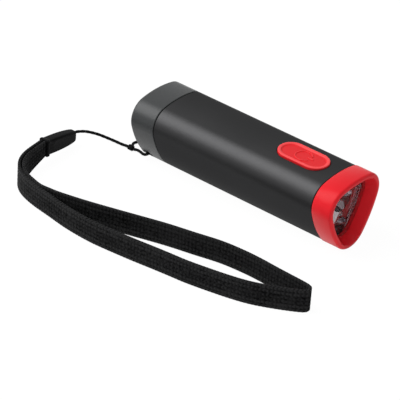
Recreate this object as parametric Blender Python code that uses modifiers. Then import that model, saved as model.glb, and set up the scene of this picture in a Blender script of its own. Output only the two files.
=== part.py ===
"""Dynamo flashlight with a folding crank and a webbing wrist strap.

The torch lies along X, tail cap at X = 0 and bezel at X = LENGTH, with its keel down and the
button on top. Its section is a rounded triangle, and every piece of the housing takes its
outline from section(), so a wall, a seat or a gap is one inset of that outline. The dynamo and
its crank are laid out on the far face: there local Z points out of the face and local X runs to
the bezel. All sizes are in metres.
"""

import math

import bmesh
import bpy
from mathutils import Matrix, Vector

# Section: two top corners and a keel, joined by slightly crowned sides
LENGTH = 0.110
TOP_HALF_SPAN = 0.00803
CORNER_RADIUS = 0.00913
KEEL_DROP = 0.01254
KEEL_RADIUS = 0.01045
SIDE_RADIUS = 0.050
CORNER_STEPS = 6
SIDE_STEPS = 4

# Fits
WALL = 0.0017
CLEARANCE = 0.0003
SEAM_ROUND = 0.0004

# Tail cap, its spigot in the tube, and the cross hole for the lanyard
CAP_LENGTH = 0.0130
CAP_END_ROUND = 0.0012
CAP_END_STEPS = 4
CAP_FLOOR = 0.0024
CAP_WALL = 0.0024
SPIGOT_LENGTH = 0.0050
SPIGOT_WALL = 0.0023
SEAL_GROOVE = 0.0016
SEAL_DEPTH = 0.0010
SEAL_WIDTH = 0.0010
LANYARD_HOLE_RADIUS = 0.0019
LANYARD_HOLE_X = 0.0046
LANYARD_HOLE_RISE = 0.0039
LANYARD_BLOCK_RISE = 0.0077
LANYARD_BLOCK_LENGTH = 0.0090
CAP_SCREW_HALF_SPAN = 0.0075
CAP_SCREW_DROP = 0.0085
CAP_SCREW_HEAD_RADIUS = 0.0018
CAP_SCREW_HEAD = 0.0008
CAP_SCREW_RADIUS = 0.0008
CAP_COUNTERBORE = 0.0013

# Bezel, lens and reflector
BEZEL_LENGTH = 0.0100
BEZEL_PROUD = 0.0003
BEZEL_ROUND = 0.0012
BEZEL_ROUND_STEPS = 4
BEZEL_RIM = 0.0008
BEZEL_LIP_DEPTH = 0.0049
BEZEL_LIP_THICKNESS = 0.0004
BEZEL_OPENING_INSET = 0.0038
TONGUE_LENGTH = 0.0050
TONGUE_WALL = 0.0009
LENS_THICKNESS = 0.0012
FLANGE_THICKNESS = 0.0012
MAIN_CUP_DROP = 0.0103
MAIN_CUP_RADIUS = 0.0064
MAIN_CUP_THROAT = 0.0028
KEEL_CUP_DROP = 0.0242
KEEL_CUP_RADIUS = 0.0042
KEEL_CUP_THROAT = 0.0018
CUP_WALL = 0.0008
CUP_DEPTH = 0.0063
CUP_STEPS = 4
REFLECTOR_SCREW_DROP = 0.0184
REFLECTOR_SCREW_HEAD_RADIUS = 0.0010
REFLECTOR_SCREW_RADIUS = 0.0006
REFLECTOR_BOSS_RADIUS = 0.0016
LED_BOARD_THICKNESS = 0.0012
LED_COLLAR = 0.0010
LED_STEPS = 4

# Push button on the top face
BUTTON_SETBACK = 0.0284
BUTTON_X = LENGTH - BUTTON_SETBACK
BUTTON_HALF_LENGTH = 0.0125
BUTTON_HALF_WIDTH = 0.0065
BUTTON_PROUD = 0.0007
BUTTON_TRAVEL = 0.0010
BUTTON_RIM = 0.0012
BUTTON_RECESS = 0.0006
BUTTON_EDGE = 0.0004
BUTTON_SHELL = 0.0014
BUTTON_FLANGE = 0.0006
BUTTON_FLANGE_THICKNESS = 0.0009
BUTTON_POST_RADIUS = 0.0020
PILL_STEPS = 8

# Chassis, from the cap's screws to the board under the button
CHASSIS_GAP = 0.0006
CHASSIS_SETBACK = 0.0350
CHASSIS_START = CAP_LENGTH + SPIGOT_LENGTH + CHASSIS_GAP
CHASSIS_END = LENGTH - CHASSIS_SETBACK
BULKHEAD = 0.0014
RIB_SHARE = 0.5634

# Control board under the button
TRAY_START = CHASSIS_END + CLEARANCE
TRAY_TOP = -0.0097
TRAY_THICKNESS = 0.0013
TRAY_LIP = 0.0017
BOARD_GAP = 0.0007
BOARD_START = TRAY_START + BOARD_GAP
BOARD_MARGIN = 0.0012
BOARD_HALF_WIDTH = 0.0130
BOARD_THICKNESS = 0.0010
SWITCH_SIDE = 0.0060
SWITCH_HEIGHT = 0.0032
PLUNGER_RADIUS = 0.0017
PLUNGER_LENGTH = 0.0027
BOARD_SCREW_INSET = 0.0017
BOARD_SCREW_RADIUS = 0.0007
BOARD_SCREW_HEAD_RADIUS = 0.0015
BOARD_SCREW_HEAD = 0.0008
CAPACITOR_RADIUS = 0.0023
CAPACITOR_LENGTH = 0.0090
CHIP_SIZE = (0.0060, 0.0050, 0.0012)

# Battery and wires
BATTERY_RADIUS = 0.0071
BATTERY_POLE_RADIUS = 0.0026
BATTERY_POLE_HEIGHT = 0.0009
WIRE_RADIUS = 0.0005

# Gear train: its module follows from the chassis bay that it fills. Depths are below the far face
BAY_IN_MODULES = 89.33
CRANK_FROM_BAY = 17.5
CRANK_TEETH = 32
WHEEL_TEETH = 28
PINION_TEETH = 8
CENTRE_SLACK = 0.0001
COVER_DEPTH = 0.0030
COVER_THICKNESS = 0.0014
CRANK_GEAR_DEPTH = 0.0048
CRANK_GEAR_THICKNESS = 0.0020
WHEEL_THICKNESS = 0.0016
AXIAL_GAP = 0.0004
PLATE_THICKNESS = 0.0010
PIN_RADIUS = 0.00075
HUB_RADIUS = 0.0015
POST_RADIUS = 0.0016
POST_HALF_SPAN = 0.0084
POST_OVERHANG = 0.0014
COVER_SCREW_HEAD_RADIUS = 0.0011
COVER_SCREW_HEAD = 0.0007
COVER_SCREW_RADIUS = 0.0006
COVER_SCREW_LENGTH = 0.0040

# Generator behind the chassis plate
STATOR_GAP = 0.0007
STATOR_LENGTH = 0.0071
STATOR_WALL = 0.0009
COIL_THICKNESS = 0.0023
MAGNET_AIR_GAP = 0.000398354
MAGNET_LENGTH = 0.0050

# Crank outside the far face
BOSS_RADIUS = 0.0086
BOSS_PROUD = 0.0008
SHAFT_RADIUS = 0.0024
SHAFT_PIVOT_RADIUS = 0.0015
ARM_REACH = 0.0440
ARM_THICKNESS = 0.0044
ARM_HUB_RADIUS = 0.0070
ARM_TIP_RADIUS = 0.0052
ARM_EDGE = 0.0006
CRANK_SCREW_HEAD_RADIUS = 0.0030
CRANK_SCREW_HEAD = 0.0009
CRANK_SCREW_RADIUS = 0.0010
CRANK_SCREW_LENGTH = 0.0057
KNOB_RADIUS = 0.0030
KNOB_LENGTH = 0.0147
KNOB_START = 0.0025
EYE_RADIUS = 0.0020
KNOB_PIN_RADIUS = 0.0008
STEM_RADIUS = 0.0011
STEM_HEAD_RADIUS = 0.0018
STEM_HEAD = 0.0009

# Strap
WEBBING_WIDTH = 0.0113
WEBBING_THICKNESS = 0.0013
LAYER_PITCH = 0.0019
SLEEVE_MOUTH_Y = -0.0410
SLEEVE_LENGTH = 0.0207
CORD_RADIUS = 0.00065
HITCH_RADIUS = 0.0013
HITCH_LENGTH = 0.0032

# Levels that follow from the sizes above
TOP_CENTRE = Vector((TOP_HALF_SPAN, -CORNER_RADIUS))
KEEL_CENTRE = Vector((0.0, -CORNER_RADIUS - KEEL_DROP))
KEEL_BOTTOM = KEEL_CENTRE.y - KEEL_RADIUS
FLOOR = KEEL_BOTTOM - BEZEL_PROUD
FIT_INSET = WALL + CLEARANCE
BAY_START = CHASSIS_START + BULKHEAD
BAY_END = CHASSIS_END - BULKHEAD
MODULE = (BAY_END - BAY_START) / BAY_IN_MODULES
CRANK_X = BAY_START + CRANK_FROM_BAY * MODULE
RIB_START = BAY_START + RIB_SHARE * (BAY_END - BAY_START)
RIB_END = RIB_START + BULKHEAD
BATTERY_LENGTH = RIB_START - BAY_START - BATTERY_POLE_HEIGHT - 3 * CLEARANCE
TONGUE_START = LENGTH - BEZEL_LENGTH - TONGUE_LENGTH
BOARD_LENGTH = TONGUE_START - CLEARANCE - BOARD_MARGIN - BOARD_START


def side_centre(here, here_radius, there, there_radius):
    """Centre of the large circle that touches two corner circles from outside the pair."""
    here_reach = SIDE_RADIUS - here_radius
    there_reach = SIDE_RADIUS - there_radius
    span = (there - here).length
    along = (span * span + here_reach**2 - there_reach**2) / (2 * span)
    across = math.sqrt(here_reach**2 - along**2)
    direction = (there - here).normalized()
    return here + direction * along + Vector((-direction.y, direction.x)) * across


CORNERS = [
    (TOP_CENTRE, CORNER_RADIUS),
    (Vector((-TOP_CENTRE.x, TOP_CENTRE.y)), CORNER_RADIUS),
    (KEEL_CENTRE, KEEL_RADIUS),
]
SIDES = [side_centre(*CORNERS[i], *CORNERS[(i + 1) % 3]) for i in range(3)]


def heading(start, end):
    return math.atan2(end.y - start.y, end.x - start.x)


def arc(centre, radius, start, end, steps):
    """Points of an arc that turns anticlockwise from one heading to the other."""
    sweep = (end - start) % (2 * math.pi)
    angles = [start + sweep * i / steps for i in range(steps + 1)]
    return [centre + radius * Vector((math.cos(a), math.sin(a))) for a in angles]


def section(inset=0.0):
    """The housing's outline in Y and Z, drawn in by inset, anticlockwise seen from the bezel."""
    points = []
    for i, (centre, radius) in enumerate(CORNERS):
        before, after = SIDES[i - 1], SIDES[i]
        points += arc(centre, radius - inset, heading(before, centre), heading(after, centre), CORNER_STEPS)
        following = CORNERS[(i + 1) % 3][0]
        side = arc(after, SIDE_RADIUS - inset, heading(after, centre), heading(after, following), SIDE_STEPS)
        points += side[1:-1]
    return points


def pill(half_length, half_width):
    """A slot outline: two half circles joined by straight sides."""
    centre = Vector((half_length - half_width, 0))
    right = arc(centre, half_width, -math.pi / 2, math.pi / 2, PILL_STEPS)
    return right + [-point for point in right]


# Scene
for leftover in list(bpy.data.objects):
    bpy.data.objects.remove(leftover, do_unlink=True)
parts = bpy.data.collections.new("dynamo_flashlight")
cutters = bpy.data.collections.new("cutters")
bpy.context.scene.collection.children.link(parts)
bpy.context.scene.collection.children.link(cutters)

torch = bpy.data.objects.new("torch", None)
parts.objects.link(torch)
FAR_SIDE = SIDES[2]
FAR_NORMAL = ((TOP_CENTRE - FAR_SIDE).normalized() + (KEEL_CENTRE - FAR_SIDE).normalized()).normalized()
FAR_POINT = FAR_SIDE + FAR_NORMAL * SIDE_RADIUS
far_face = bpy.data.objects.new("far_face", None)
parts.objects.link(far_face)
far_face.parent = torch
far_face.location = (0, FAR_POINT.x, FAR_POINT.y)
far_face.rotation_euler = (math.atan2(-FAR_NORMAL.x, FAR_NORMAL.y), 0, 0)

TO_X = (0, math.pi / 2, 0)
TO_Y = (-math.pi / 2, 0, 0)
FINISHES = {}


def finish(name, colour, roughness, metallic=0.0):
    made = bpy.data.materials.new(name)
    made.use_nodes = True
    shader = made.node_tree.nodes["Principled BSDF"]
    shader.inputs["Base Color"].default_value = (*colour, 1.0)
    shader.inputs["Roughness"].default_value = roughness
    shader.inputs["Metallic"].default_value = metallic
    FINISHES[name] = made


finish("black_anodised", (0.030, 0.030, 0.032), 0.45, 0.3)
finish("grey_cap", (0.085, 0.088, 0.090), 0.50)
finish("red_plastic", (0.75, 0.030, 0.035), 0.40)
finish("clear_lens", (0.90, 0.92, 0.95), 0.05)
finish("chrome", (0.80, 0.80, 0.82), 0.10, 1.0)
finish("steel", (0.55, 0.55, 0.57), 0.30, 1.0)
finish("white_nylon", (0.80, 0.79, 0.74), 0.50)
finish("black_plastic", (0.020, 0.020, 0.020), 0.45)
finish("green_board", (0.03, 0.18, 0.07), 0.45)
finish("copper", (0.70, 0.32, 0.16), 0.30, 1.0)
finish("ferrite", (0.06, 0.06, 0.065), 0.60)
finish("battery_wrap", (0.02, 0.16, 0.42), 0.35)
finish("rubber", (0.015, 0.015, 0.015), 0.70)
finish("led_resin", (0.90, 0.88, 0.60), 0.15)
finish("black_webbing", (0.012, 0.012, 0.012), 0.90)


def add(name, data, material, parent=torch, location=(0, 0, 0), rotation=(0, 0, 0)):
    made = bpy.data.objects.new(name, data)
    parts.objects.link(made)
    made.parent = parent
    made.location = location
    made.rotation_euler = rotation
    data.materials.append(FINISHES[material])
    return made


def mesh_of(name, shape, smooth=True):
    """Turns a bmesh into a mesh whose sharp edges stay sharp."""
    bmesh.ops.recalc_face_normals(shape, faces=shape.faces)
    mesh = bpy.data.meshes.new(name)
    shape.to_mesh(mesh)
    shape.free()
    if smooth:
        mesh.shade_smooth()
        mesh.set_sharp_from_angle(angle=math.radians(35))
    return mesh


def skin(name, rings, closed=False):
    """A loft through rings of equal count: closed like a tyre, or capped at its two ends."""
    shape = bmesh.new()
    loops = [[shape.verts.new(point) for point in ring] for ring in rings]
    pairs = list(zip(loops, loops[1:]))
    if closed:
        pairs.append((loops[-1], loops[0]))
    else:
        shape.faces.new(loops[0])
        shape.faces.new(loops[-1])
    for here, there in pairs:
        for i in range(len(here)):
            shape.faces.new((here[i - 1], here[i], there[i], there[i - 1]))
    return mesh_of(name, shape)


def loft(name, stations, closed=False):
    """A piece of the housing's section: each station is a place along X and an inset."""
    return skin(name, [[(x, p.x, p.y) for p in section(inset)] for x, inset in stations], closed)


def box(name, low, high):
    shape = bmesh.new()
    bmesh.ops.create_cube(shape, size=1)
    low, high = Vector(low), Vector(high)
    bmesh.ops.scale(shape, vec=high - low, verts=shape.verts)
    bmesh.ops.translate(shape, vec=(low + high) / 2, verts=shape.verts)
    return mesh_of(name, shape, smooth=False)


def rod(name, radius, bottom, top, segments=16):
    """A cylinder along its own Z, from bottom to top."""
    shape = bmesh.new()
    bmesh.ops.create_cone(
        shape, cap_ends=True, segments=segments, radius1=radius, radius2=radius, depth=top - bottom
    )
    bmesh.ops.translate(shape, vec=(0, 0, (top + bottom) / 2), verts=shape.verts)
    return mesh_of(name, shape)


def turned(name, profile, material, steps=24, **place):
    """A lathe piece about its own Z: the profile runs down the outside, then up any bore."""
    mesh = bpy.data.meshes.new(name)
    edges = [(i, i + 1) for i in range(len(profile) - 1)]
    if min(radius for radius, _ in profile) > 0:
        edges.append((len(profile) - 1, 0))
    mesh.from_pydata([(radius, 0, height) for radius, height in profile], edges, [])
    made = add(name, mesh, material, **place)
    screw = made.modifiers.new("lathe", "SCREW")
    screw.steps = screw.render_steps = steps
    screw.use_merge_vertices = True
    screw.merge_threshold = 0.00001
    screw.use_smooth_shade = True
    return made


def flat(name, outline, bottom, top):
    """A flat outline with a thickness, from a filled curve, as a welded mesh."""
    curve = bpy.data.curves.new(name, "CURVE")
    curve.dimensions = "2D"
    curve.fill_mode = "BOTH"
    curve.extrude = (top - bottom) / 2
    spline = curve.splines.new("POLY")
    spline.points.add(len(outline) - 1)
    for point, place in zip(spline.points, outline):
        point.co = (place.x, place.y, 0, 1)
    spline.use_cyclic_u = True
    drawn = bpy.data.objects.new(name, curve)
    parts.objects.link(drawn)
    bpy.context.view_layer.update()
    solid = bpy.data.meshes.new_from_object(drawn.evaluated_get(bpy.context.evaluated_depsgraph_get()))
    bpy.data.objects.remove(drawn)
    shape = bmesh.new()
    shape.from_mesh(solid)
    bmesh.ops.remove_doubles(shape, verts=shape.verts, dist=0.000001)
    bmesh.ops.translate(shape, vec=(0, 0, (top + bottom) / 2), verts=shape.verts)
    return mesh_of(name, shape)


def tube(name, points, radius, material, resolution=1):
    """A round wire or cord along its points."""
    curve = bpy.data.curves.new(name, "CURVE")
    curve.dimensions = "3D"
    curve.bevel_depth = radius
    curve.bevel_resolution = resolution
    curve.use_fill_caps = True
    spline = curve.splines.new("POLY")
    spline.points.add(len(points) - 1)
    for point, place in zip(spline.points, points):
        point.co = (*place, 1)
    return add(name, curve, material)


def smooth_route(points, per_span):
    """A Catmull-Rom curve through chosen points, with per_span steps between each two."""
    points = [Vector(point) for point in points]
    padded = [2 * points[0] - points[1], *points, 2 * points[-1] - points[-2]]
    route = []
    for before, here, there, after in zip(padded, padded[1:], padded[2:], padded[3:]):
        for i in range(per_span):
            t = i / per_span
            bend = 2 * before - 5 * here + 4 * there - after
            twist = 3 * here - before - 3 * there + after
            route.append(here + (there - before) * t / 2 + bend * t * t / 2 + twist * t**3 / 2)
    return route + [points[-1]]


def tool(data, parent=torch, location=(0, 0, 0), rotation=(0, 0, 0)):
    """A cutter, or a shape that is joined to another: it isn't a piece of its own."""
    made = bpy.data.objects.new(data.name, data)
    cutters.objects.link(made)
    made.parent = parent
    made.location = location
    made.rotation_euler = rotation
    made.hide_render = True
    made.display_type = "WIRE"
    return made


def boolean(target, operation, *others):
    for other in others:
        if other.name in parts.objects:
            parts.objects.unlink(other)
            cutters.objects.link(other)
            other.hide_render = True
            other.display_type = "WIRE"
        step = target.modifiers.new(f"{operation.lower()} {other.name}", "BOOLEAN")
        step.operation = operation
        step.object = other


def cut(target, *others):
    boolean(target, "DIFFERENCE", *others)


def join(target, *others):
    boolean(target, "UNION", *others)


def keep(target, *others):
    boolean(target, "INTERSECT", *others)


# Tail cap: a shell whose spigot enters the tube, with a solid keel for the lanyard hole
BODY_START = CAP_LENGTH + CLEARANCE
BODY_END = LENGTH - BEZEL_LENGTH - CLEARANCE
SPIGOT_END = CAP_LENGTH + SPIGOT_LENGTH
SPIGOT_INSET = FIT_INSET + SPIGOT_WALL
GROOVE_START = CAP_LENGTH + SEAL_GROOVE
GROOVE_END = GROOVE_START + SEAL_WIDTH + 2 * CLEARANCE
TURN = math.pi / 2
rounded_end = [
    (
        CAP_END_ROUND * (1 - math.cos(TURN * i / CAP_END_STEPS)),
        CAP_END_ROUND * (1 - math.sin(TURN * i / CAP_END_STEPS)),
    )
    for i in range(CAP_END_STEPS + 1)
]
cap_stations = [
    (CAP_FLOOR, CAP_WALL),
    (CAP_LENGTH - CAP_WALL, CAP_WALL),
    (CAP_LENGTH - CAP_WALL + SEAM_ROUND, SPIGOT_INSET),
    (SPIGOT_END, SPIGOT_INSET),
    (SPIGOT_END, FIT_INSET),
    (GROOVE_END, FIT_INSET),
    (GROOVE_END, FIT_INSET + SEAL_DEPTH),
    (GROOVE_START, FIT_INSET + SEAL_DEPTH),
    (GROOVE_START, FIT_INSET),
    (CAP_LENGTH, FIT_INSET),
    (CAP_LENGTH, SEAM_ROUND),
    (CAP_LENGTH - SEAM_ROUND, 0),
    *reversed(rounded_end),
]
tail_cap = add("tail_cap", loft("tail_cap", cap_stations), "grey_cap")
lanyard_block = tool(loft("lanyard_block", [(WALL / 2, WALL / 2), (LANYARD_BLOCK_LENGTH, WALL / 2)]))
block_top = KEEL_BOTTOM + LANYARD_BLOCK_RISE
keep(lanyard_block, tool(box("block_limit", (-LENGTH, -LENGTH, -LENGTH), (LENGTH, LENGTH, block_top))))
lanyard_hole = tool(
    rod("lanyard_hole", LANYARD_HOLE_RADIUS, -LENGTH, LENGTH),
    location=(LANYARD_HOLE_X, 0, KEEL_BOTTOM + LANYARD_HOLE_RISE),
    rotation=TO_Y,
)
join(tail_cap, lanyard_block)
cut(tail_cap, lanyard_hole)

seal_start = GROOVE_START + CLEARANCE
cap_seal_stations = [
    (seal_start, FIT_INSET),
    (seal_start + SEAL_WIDTH, FIT_INSET),
    (seal_start + SEAL_WIDTH, FIT_INSET + SEAL_DEPTH - CLEARANCE),
    (seal_start, FIT_INSET + SEAL_DEPTH - CLEARANCE),
]
add("cap_seal", loft("cap_seal", cap_seal_stations, closed=True), "rubber")

# Chassis: a prism that slides into the tube, hollowed to two bulkheads, a plate and a rib
WHEEL_DEPTH = CRANK_GEAR_DEPTH + CRANK_GEAR_THICKNESS + AXIAL_GAP
SECOND_DEPTH = WHEEL_DEPTH + WHEEL_THICKNESS + AXIAL_GAP
PLATE_DEPTH = SECOND_DEPTH + WHEEL_THICKNESS + AXIAL_GAP + CLEARANCE / 3
PLATE_UNDER = PLATE_DEPTH + PLATE_THICKNESS
FIRST_X = CRANK_X + MODULE * (CRANK_TEETH + PINION_TEETH) / 2 + CENTRE_SLACK
SECOND_X = FIRST_X + MODULE * (WHEEL_TEETH + PINION_TEETH) / 2 + CENTRE_SLACK
ROTOR_X = SECOND_X + MODULE * (WHEEL_TEETH + PINION_TEETH) / 2 + CENTRE_SLACK
STATOR_RADIUS = BAY_END - ROTOR_X - STATOR_GAP
PIN_HOLE = PIN_RADIUS + CLEARANCE
SHAFT_HOLE = SHAFT_RADIUS + CLEARANCE
POSTS = [
    (x, y)
    for x in (BAY_START + POST_OVERHANG, BAY_END - POST_OVERHANG)
    for y in (-POST_HALF_SPAN, POST_HALF_SPAN)
]

chassis_mesh = loft("chassis", [(CHASSIS_START, FIT_INSET), (CHASSIS_END, FIT_INSET)])
chassis = add("chassis", chassis_mesh, "black_plastic")
cut(
    chassis,
    tool(box("gear_bay", (BAY_START, -LENGTH, -PLATE_DEPTH), (BAY_END, LENGTH, LENGTH)), far_face),
    tool(box("battery_bay", (BAY_START, -LENGTH, -LENGTH), (RIB_START, LENGTH, -PLATE_UNDER)), far_face),
    tool(box("generator_bay", (RIB_END, -LENGTH, -LENGTH), (BAY_END, LENGTH, -PLATE_UNDER)), far_face),
)
post_bottom = -PLATE_DEPTH - PLATE_THICKNESS / 2
post_top = -COVER_DEPTH - COVER_THICKNESS - CLEARANCE
screw_hole = COVER_SCREW_RADIUS + CLEARANCE
for number, (x, y) in enumerate(POSTS, 1):
    join(chassis, tool(rod(f"post_{number}", POST_RADIUS, post_bottom, post_top), far_face, (x, y, 0)))
    depth = post_top - COVER_SCREW_LENGTH
    cut(chassis, tool(rod(f"post_hole_{number}", screw_hole, depth, 0, 8), far_face, (x, y, 0)))
for name, x, radius in (
    ("crank_pivot_hole", CRANK_X, SHAFT_PIVOT_RADIUS + CLEARANCE),
    ("first_pin_hole", FIRST_X, PIN_HOLE),
    ("second_pin_hole", SECOND_X, PIN_HOLE),
    ("rotor_hole", ROTOR_X, PIN_HOLE),
):
    cut(chassis, tool(rod(name, radius, -PLATE_UNDER - WALL, -PLATE_DEPTH + WALL, 12), far_face, (x, 0, 0)))

# Battery, seated in the near top corner of the bay
battery_place = {"location": (BAY_START + 2 * CLEARANCE, -TOP_CENTRE.x, TOP_CENTRE.y), "rotation": TO_X}
battery_profile = [
    (0, BATTERY_LENGTH + BATTERY_POLE_HEIGHT),
    (BATTERY_POLE_RADIUS, BATTERY_LENGTH + BATTERY_POLE_HEIGHT),
    (BATTERY_POLE_RADIUS, BATTERY_LENGTH),
    (BATTERY_RADIUS - SEAM_ROUND, BATTERY_LENGTH),
    (BATTERY_RADIUS, BATTERY_LENGTH - SEAM_ROUND),
    (BATTERY_RADIUS, SEAM_ROUND),
    (BATTERY_RADIUS - SEAM_ROUND, 0),
    (0, 0),
]
turned("battery", battery_profile, "battery_wrap", **battery_place)
wire_level = TRAY_TOP + CLEARANCE + BOARD_THICKNESS + CLEARANCE + WIRE_RADIUS
rib_hole = tool(
    rod("rib_hole", BATTERY_POLE_RADIUS + CLEARANCE, RIB_START - WALL, RIB_END + WALL),
    location=(0, -TOP_CENTRE.x, TOP_CENTRE.y),
    rotation=TO_X,
)
window_half = 4 * WIRE_RADIUS
wire_window = tool(
    box(
        "wire_window",
        (BAY_END - WALL, -TOP_CENTRE.x - window_half, wire_level - window_half),
        (CHASSIS_END + WALL, -TOP_CENTRE.x + 3 * window_half, wire_level + window_half),
    )
)
cut(chassis, rib_hole, wire_window)

# Cap screws, from the end face through the cap into the rear bulkhead
cap_screw_profile = [
    (0, CAP_COUNTERBORE - CLEARANCE - CAP_SCREW_HEAD),
    (CAP_SCREW_HEAD_RADIUS, CAP_COUNTERBORE - CLEARANCE - CAP_SCREW_HEAD),
    (CAP_SCREW_HEAD_RADIUS, CAP_COUNTERBORE - CLEARANCE),
    (CAP_SCREW_RADIUS, CAP_COUNTERBORE - CLEARANCE),
    (CAP_SCREW_RADIUS, BAY_START + CLEARANCE),
    (0, BAY_START + CLEARANCE),
]
for side, y in (("left", -CAP_SCREW_HALF_SPAN), ("right", CAP_SCREW_HALF_SPAN)):
    place = {"location": (0, y, -CAP_SCREW_DROP), "rotation": TO_X}
    turned(f"cap_screw_{side}", cap_screw_profile[::-1], "steel", 16, **place)
    counterbore = rod(f"counterbore_{side}", CAP_SCREW_HEAD_RADIUS + CLEARANCE, -WALL, CAP_COUNTERBORE)
    cut(tail_cap, tool(counterbore, **place))
    shank = rod(f"cap_screw_hole_{side}", CAP_SCREW_RADIUS + CLEARANCE, -WALL, BAY_START + WALL, 12)
    cut(tail_cap, tool(shank, **place))
    cut(chassis, tool(shank.copy(), **place))

# Main body: an open tube with a slot for the button and a bearing boss for the crank
body_stations = [
    (BODY_START, SEAM_ROUND),
    (BODY_START + SEAM_ROUND, 0),
    (BODY_END - SEAM_ROUND, 0),
    (BODY_END, SEAM_ROUND),
    (BODY_END, WALL),
    (BODY_START, WALL),
]
main_body = add("main_body", loft("main_body", body_stations, closed=True), "black_anodised")
slot = pill(BUTTON_HALF_LENGTH + CLEARANCE, BUTTON_HALF_WIDTH + CLEARANCE)
slot_mesh = flat("button_slot", slot, -WALL - CORNER_RADIUS / 4, CORNER_RADIUS)
cut(main_body, tool(slot_mesh, location=(BUTTON_X, 0, 0)))
boss_root = -WALL - AXIAL_GAP
join(main_body, tool(rod("crank_boss", BOSS_RADIUS, boss_root, BOSS_PROUD, 32), far_face, (CRANK_X, 0, 0)))
crank_bore = rod("crank_bore", SHAFT_HOLE, 2 * boss_root, 2 * BOSS_PROUD, 24)
cut(main_body, tool(crank_bore, far_face, (CRANK_X, 0, 0)))

# Bezel: a ring with a rounded rim, a tapered mouth, a lip for the lens and a tongue
BEZEL_START = LENGTH - BEZEL_LENGTH
LIP_BACK = LENGTH - BEZEL_LIP_DEPTH
TONGUE_INSET = FIT_INSET + TONGUE_WALL
rim_outer = [
    (
        LENGTH - BEZEL_ROUND * (1 - math.sin(TURN * i / BEZEL_ROUND_STEPS)),
        BEZEL_ROUND * (1 - math.cos(TURN * i / BEZEL_ROUND_STEPS)) - BEZEL_PROUD,
    )
    for i in range(BEZEL_ROUND_STEPS + 1)
]
rim_inner = BEZEL_ROUND - BEZEL_PROUD + BEZEL_RIM
bezel_stations = [
    (BEZEL_START, SEAM_ROUND - BEZEL_PROUD),
    (BEZEL_START + SEAM_ROUND, -BEZEL_PROUD),
    *rim_outer,
    (LENGTH, rim_inner),
    (LENGTH - SEAM_ROUND, rim_inner + SEAM_ROUND / 2),
    (LIP_BACK + BEZEL_LIP_THICKNESS, BEZEL_OPENING_INSET),
    (LIP_BACK, BEZEL_OPENING_INSET),
    (LIP_BACK, TONGUE_INSET),
    (TONGUE_START, TONGUE_INSET),
    (TONGUE_START, FIT_INSET + CLEARANCE),
    (TONGUE_START + CLEARANCE, FIT_INSET),
    (BEZEL_START, FIT_INSET),
]
add("bezel", loft("bezel", bezel_stations, closed=True), "red_plastic")

# Lens, behind the bezel's lip
OPTIC_INSET = TONGUE_INSET + CLEARANCE
LENS_FRONT = LIP_BACK - CLEARANCE
LENS_BACK = LENS_FRONT - LENS_THICKNESS
lens_stations = [
    (LENS_BACK, OPTIC_INSET),
    (LENS_FRONT - CLEARANCE, OPTIC_INSET),
    (LENS_FRONT, OPTIC_INSET + CLEARANCE),
]
add("lens", loft("lens", lens_stations), "clear_lens")

# Reflector: a flange, two dished cups and a screw boss, cut to the bezel's outline
FLANGE_FRONT = LENS_BACK - CLEARANCE
FLANGE_BACK = FLANGE_FRONT - FLANGE_THICKNESS
CUP_BACK = FLANGE_FRONT - CUP_DEPTH
LED_BOARD_FRONT = CUP_BACK - CLEARANCE


def dish(throat, mouth, wall, overshoot):
    """The lathe profile of a parabolic cup, from its mouth down to its throat."""
    shares = [i / CUP_STEPS for i in range(CUP_STEPS, -1, -1)]
    wide = [
        (throat + (mouth - throat) * math.sqrt(share) + wall, CUP_BACK + CUP_DEPTH * share)
        for share in shares
    ]
    ends = [(0, FLANGE_FRONT + overshoot), (wide[0][0], FLANGE_FRONT + overshoot)]
    tail = [(wide[-1][0], CUP_BACK - overshoot), (0, CUP_BACK - overshoot)]
    return ends + (wide if overshoot else wide[1:-1]) + tail


flange_mesh = loft("reflector", [(FLANGE_BACK, OPTIC_INSET), (FLANGE_FRONT, OPTIC_INSET)])
reflector = add("reflector", flange_mesh, "chrome")
main_cup = {"location": (0, 0, -MAIN_CUP_DROP), "rotation": TO_X}
keel_cup = {"location": (0, 0, -KEEL_CUP_DROP), "rotation": TO_X}
screw_place = {"location": (0, 0, -REFLECTOR_SCREW_DROP), "rotation": TO_X}
join(
    reflector,
    turned("main_cup_shell", dish(MAIN_CUP_THROAT, MAIN_CUP_RADIUS, CUP_WALL, 0), "chrome", 28, **main_cup),
    turned("keel_cup_shell", dish(KEEL_CUP_THROAT, KEEL_CUP_RADIUS, CUP_WALL, 0), "chrome", 20, **keel_cup),
    tool(rod("reflector_boss", REFLECTOR_BOSS_RADIUS, CUP_BACK, FLANGE_FRONT - CLEARANCE), **screw_place),
)
keep(reflector, tool(loft("reflector_limit", [(TONGUE_START, OPTIC_INSET), (LENGTH, OPTIC_INSET)])))
screw_seat = FLANGE_FRONT - FLANGE_THICKNESS
cut(
    reflector,
    turned("main_cup_bowl", dish(MAIN_CUP_THROAT, MAIN_CUP_RADIUS, 0, CLEARANCE), "chrome", 28, **main_cup),
    turned("keel_cup_bowl", dish(KEEL_CUP_THROAT, KEEL_CUP_RADIUS, 0, CLEARANCE), "chrome", 20, **keel_cup),
    tool(rod("reflector_screw_hole", REFLECTOR_SCREW_RADIUS + CLEARANCE, BAY_END, LENGTH, 12), **screw_place),
    tool(
        rod("reflector_seat", REFLECTOR_SCREW_HEAD_RADIUS + CLEARANCE, screw_seat, LENGTH, 12),
        **screw_place,
    ),
)

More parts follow.
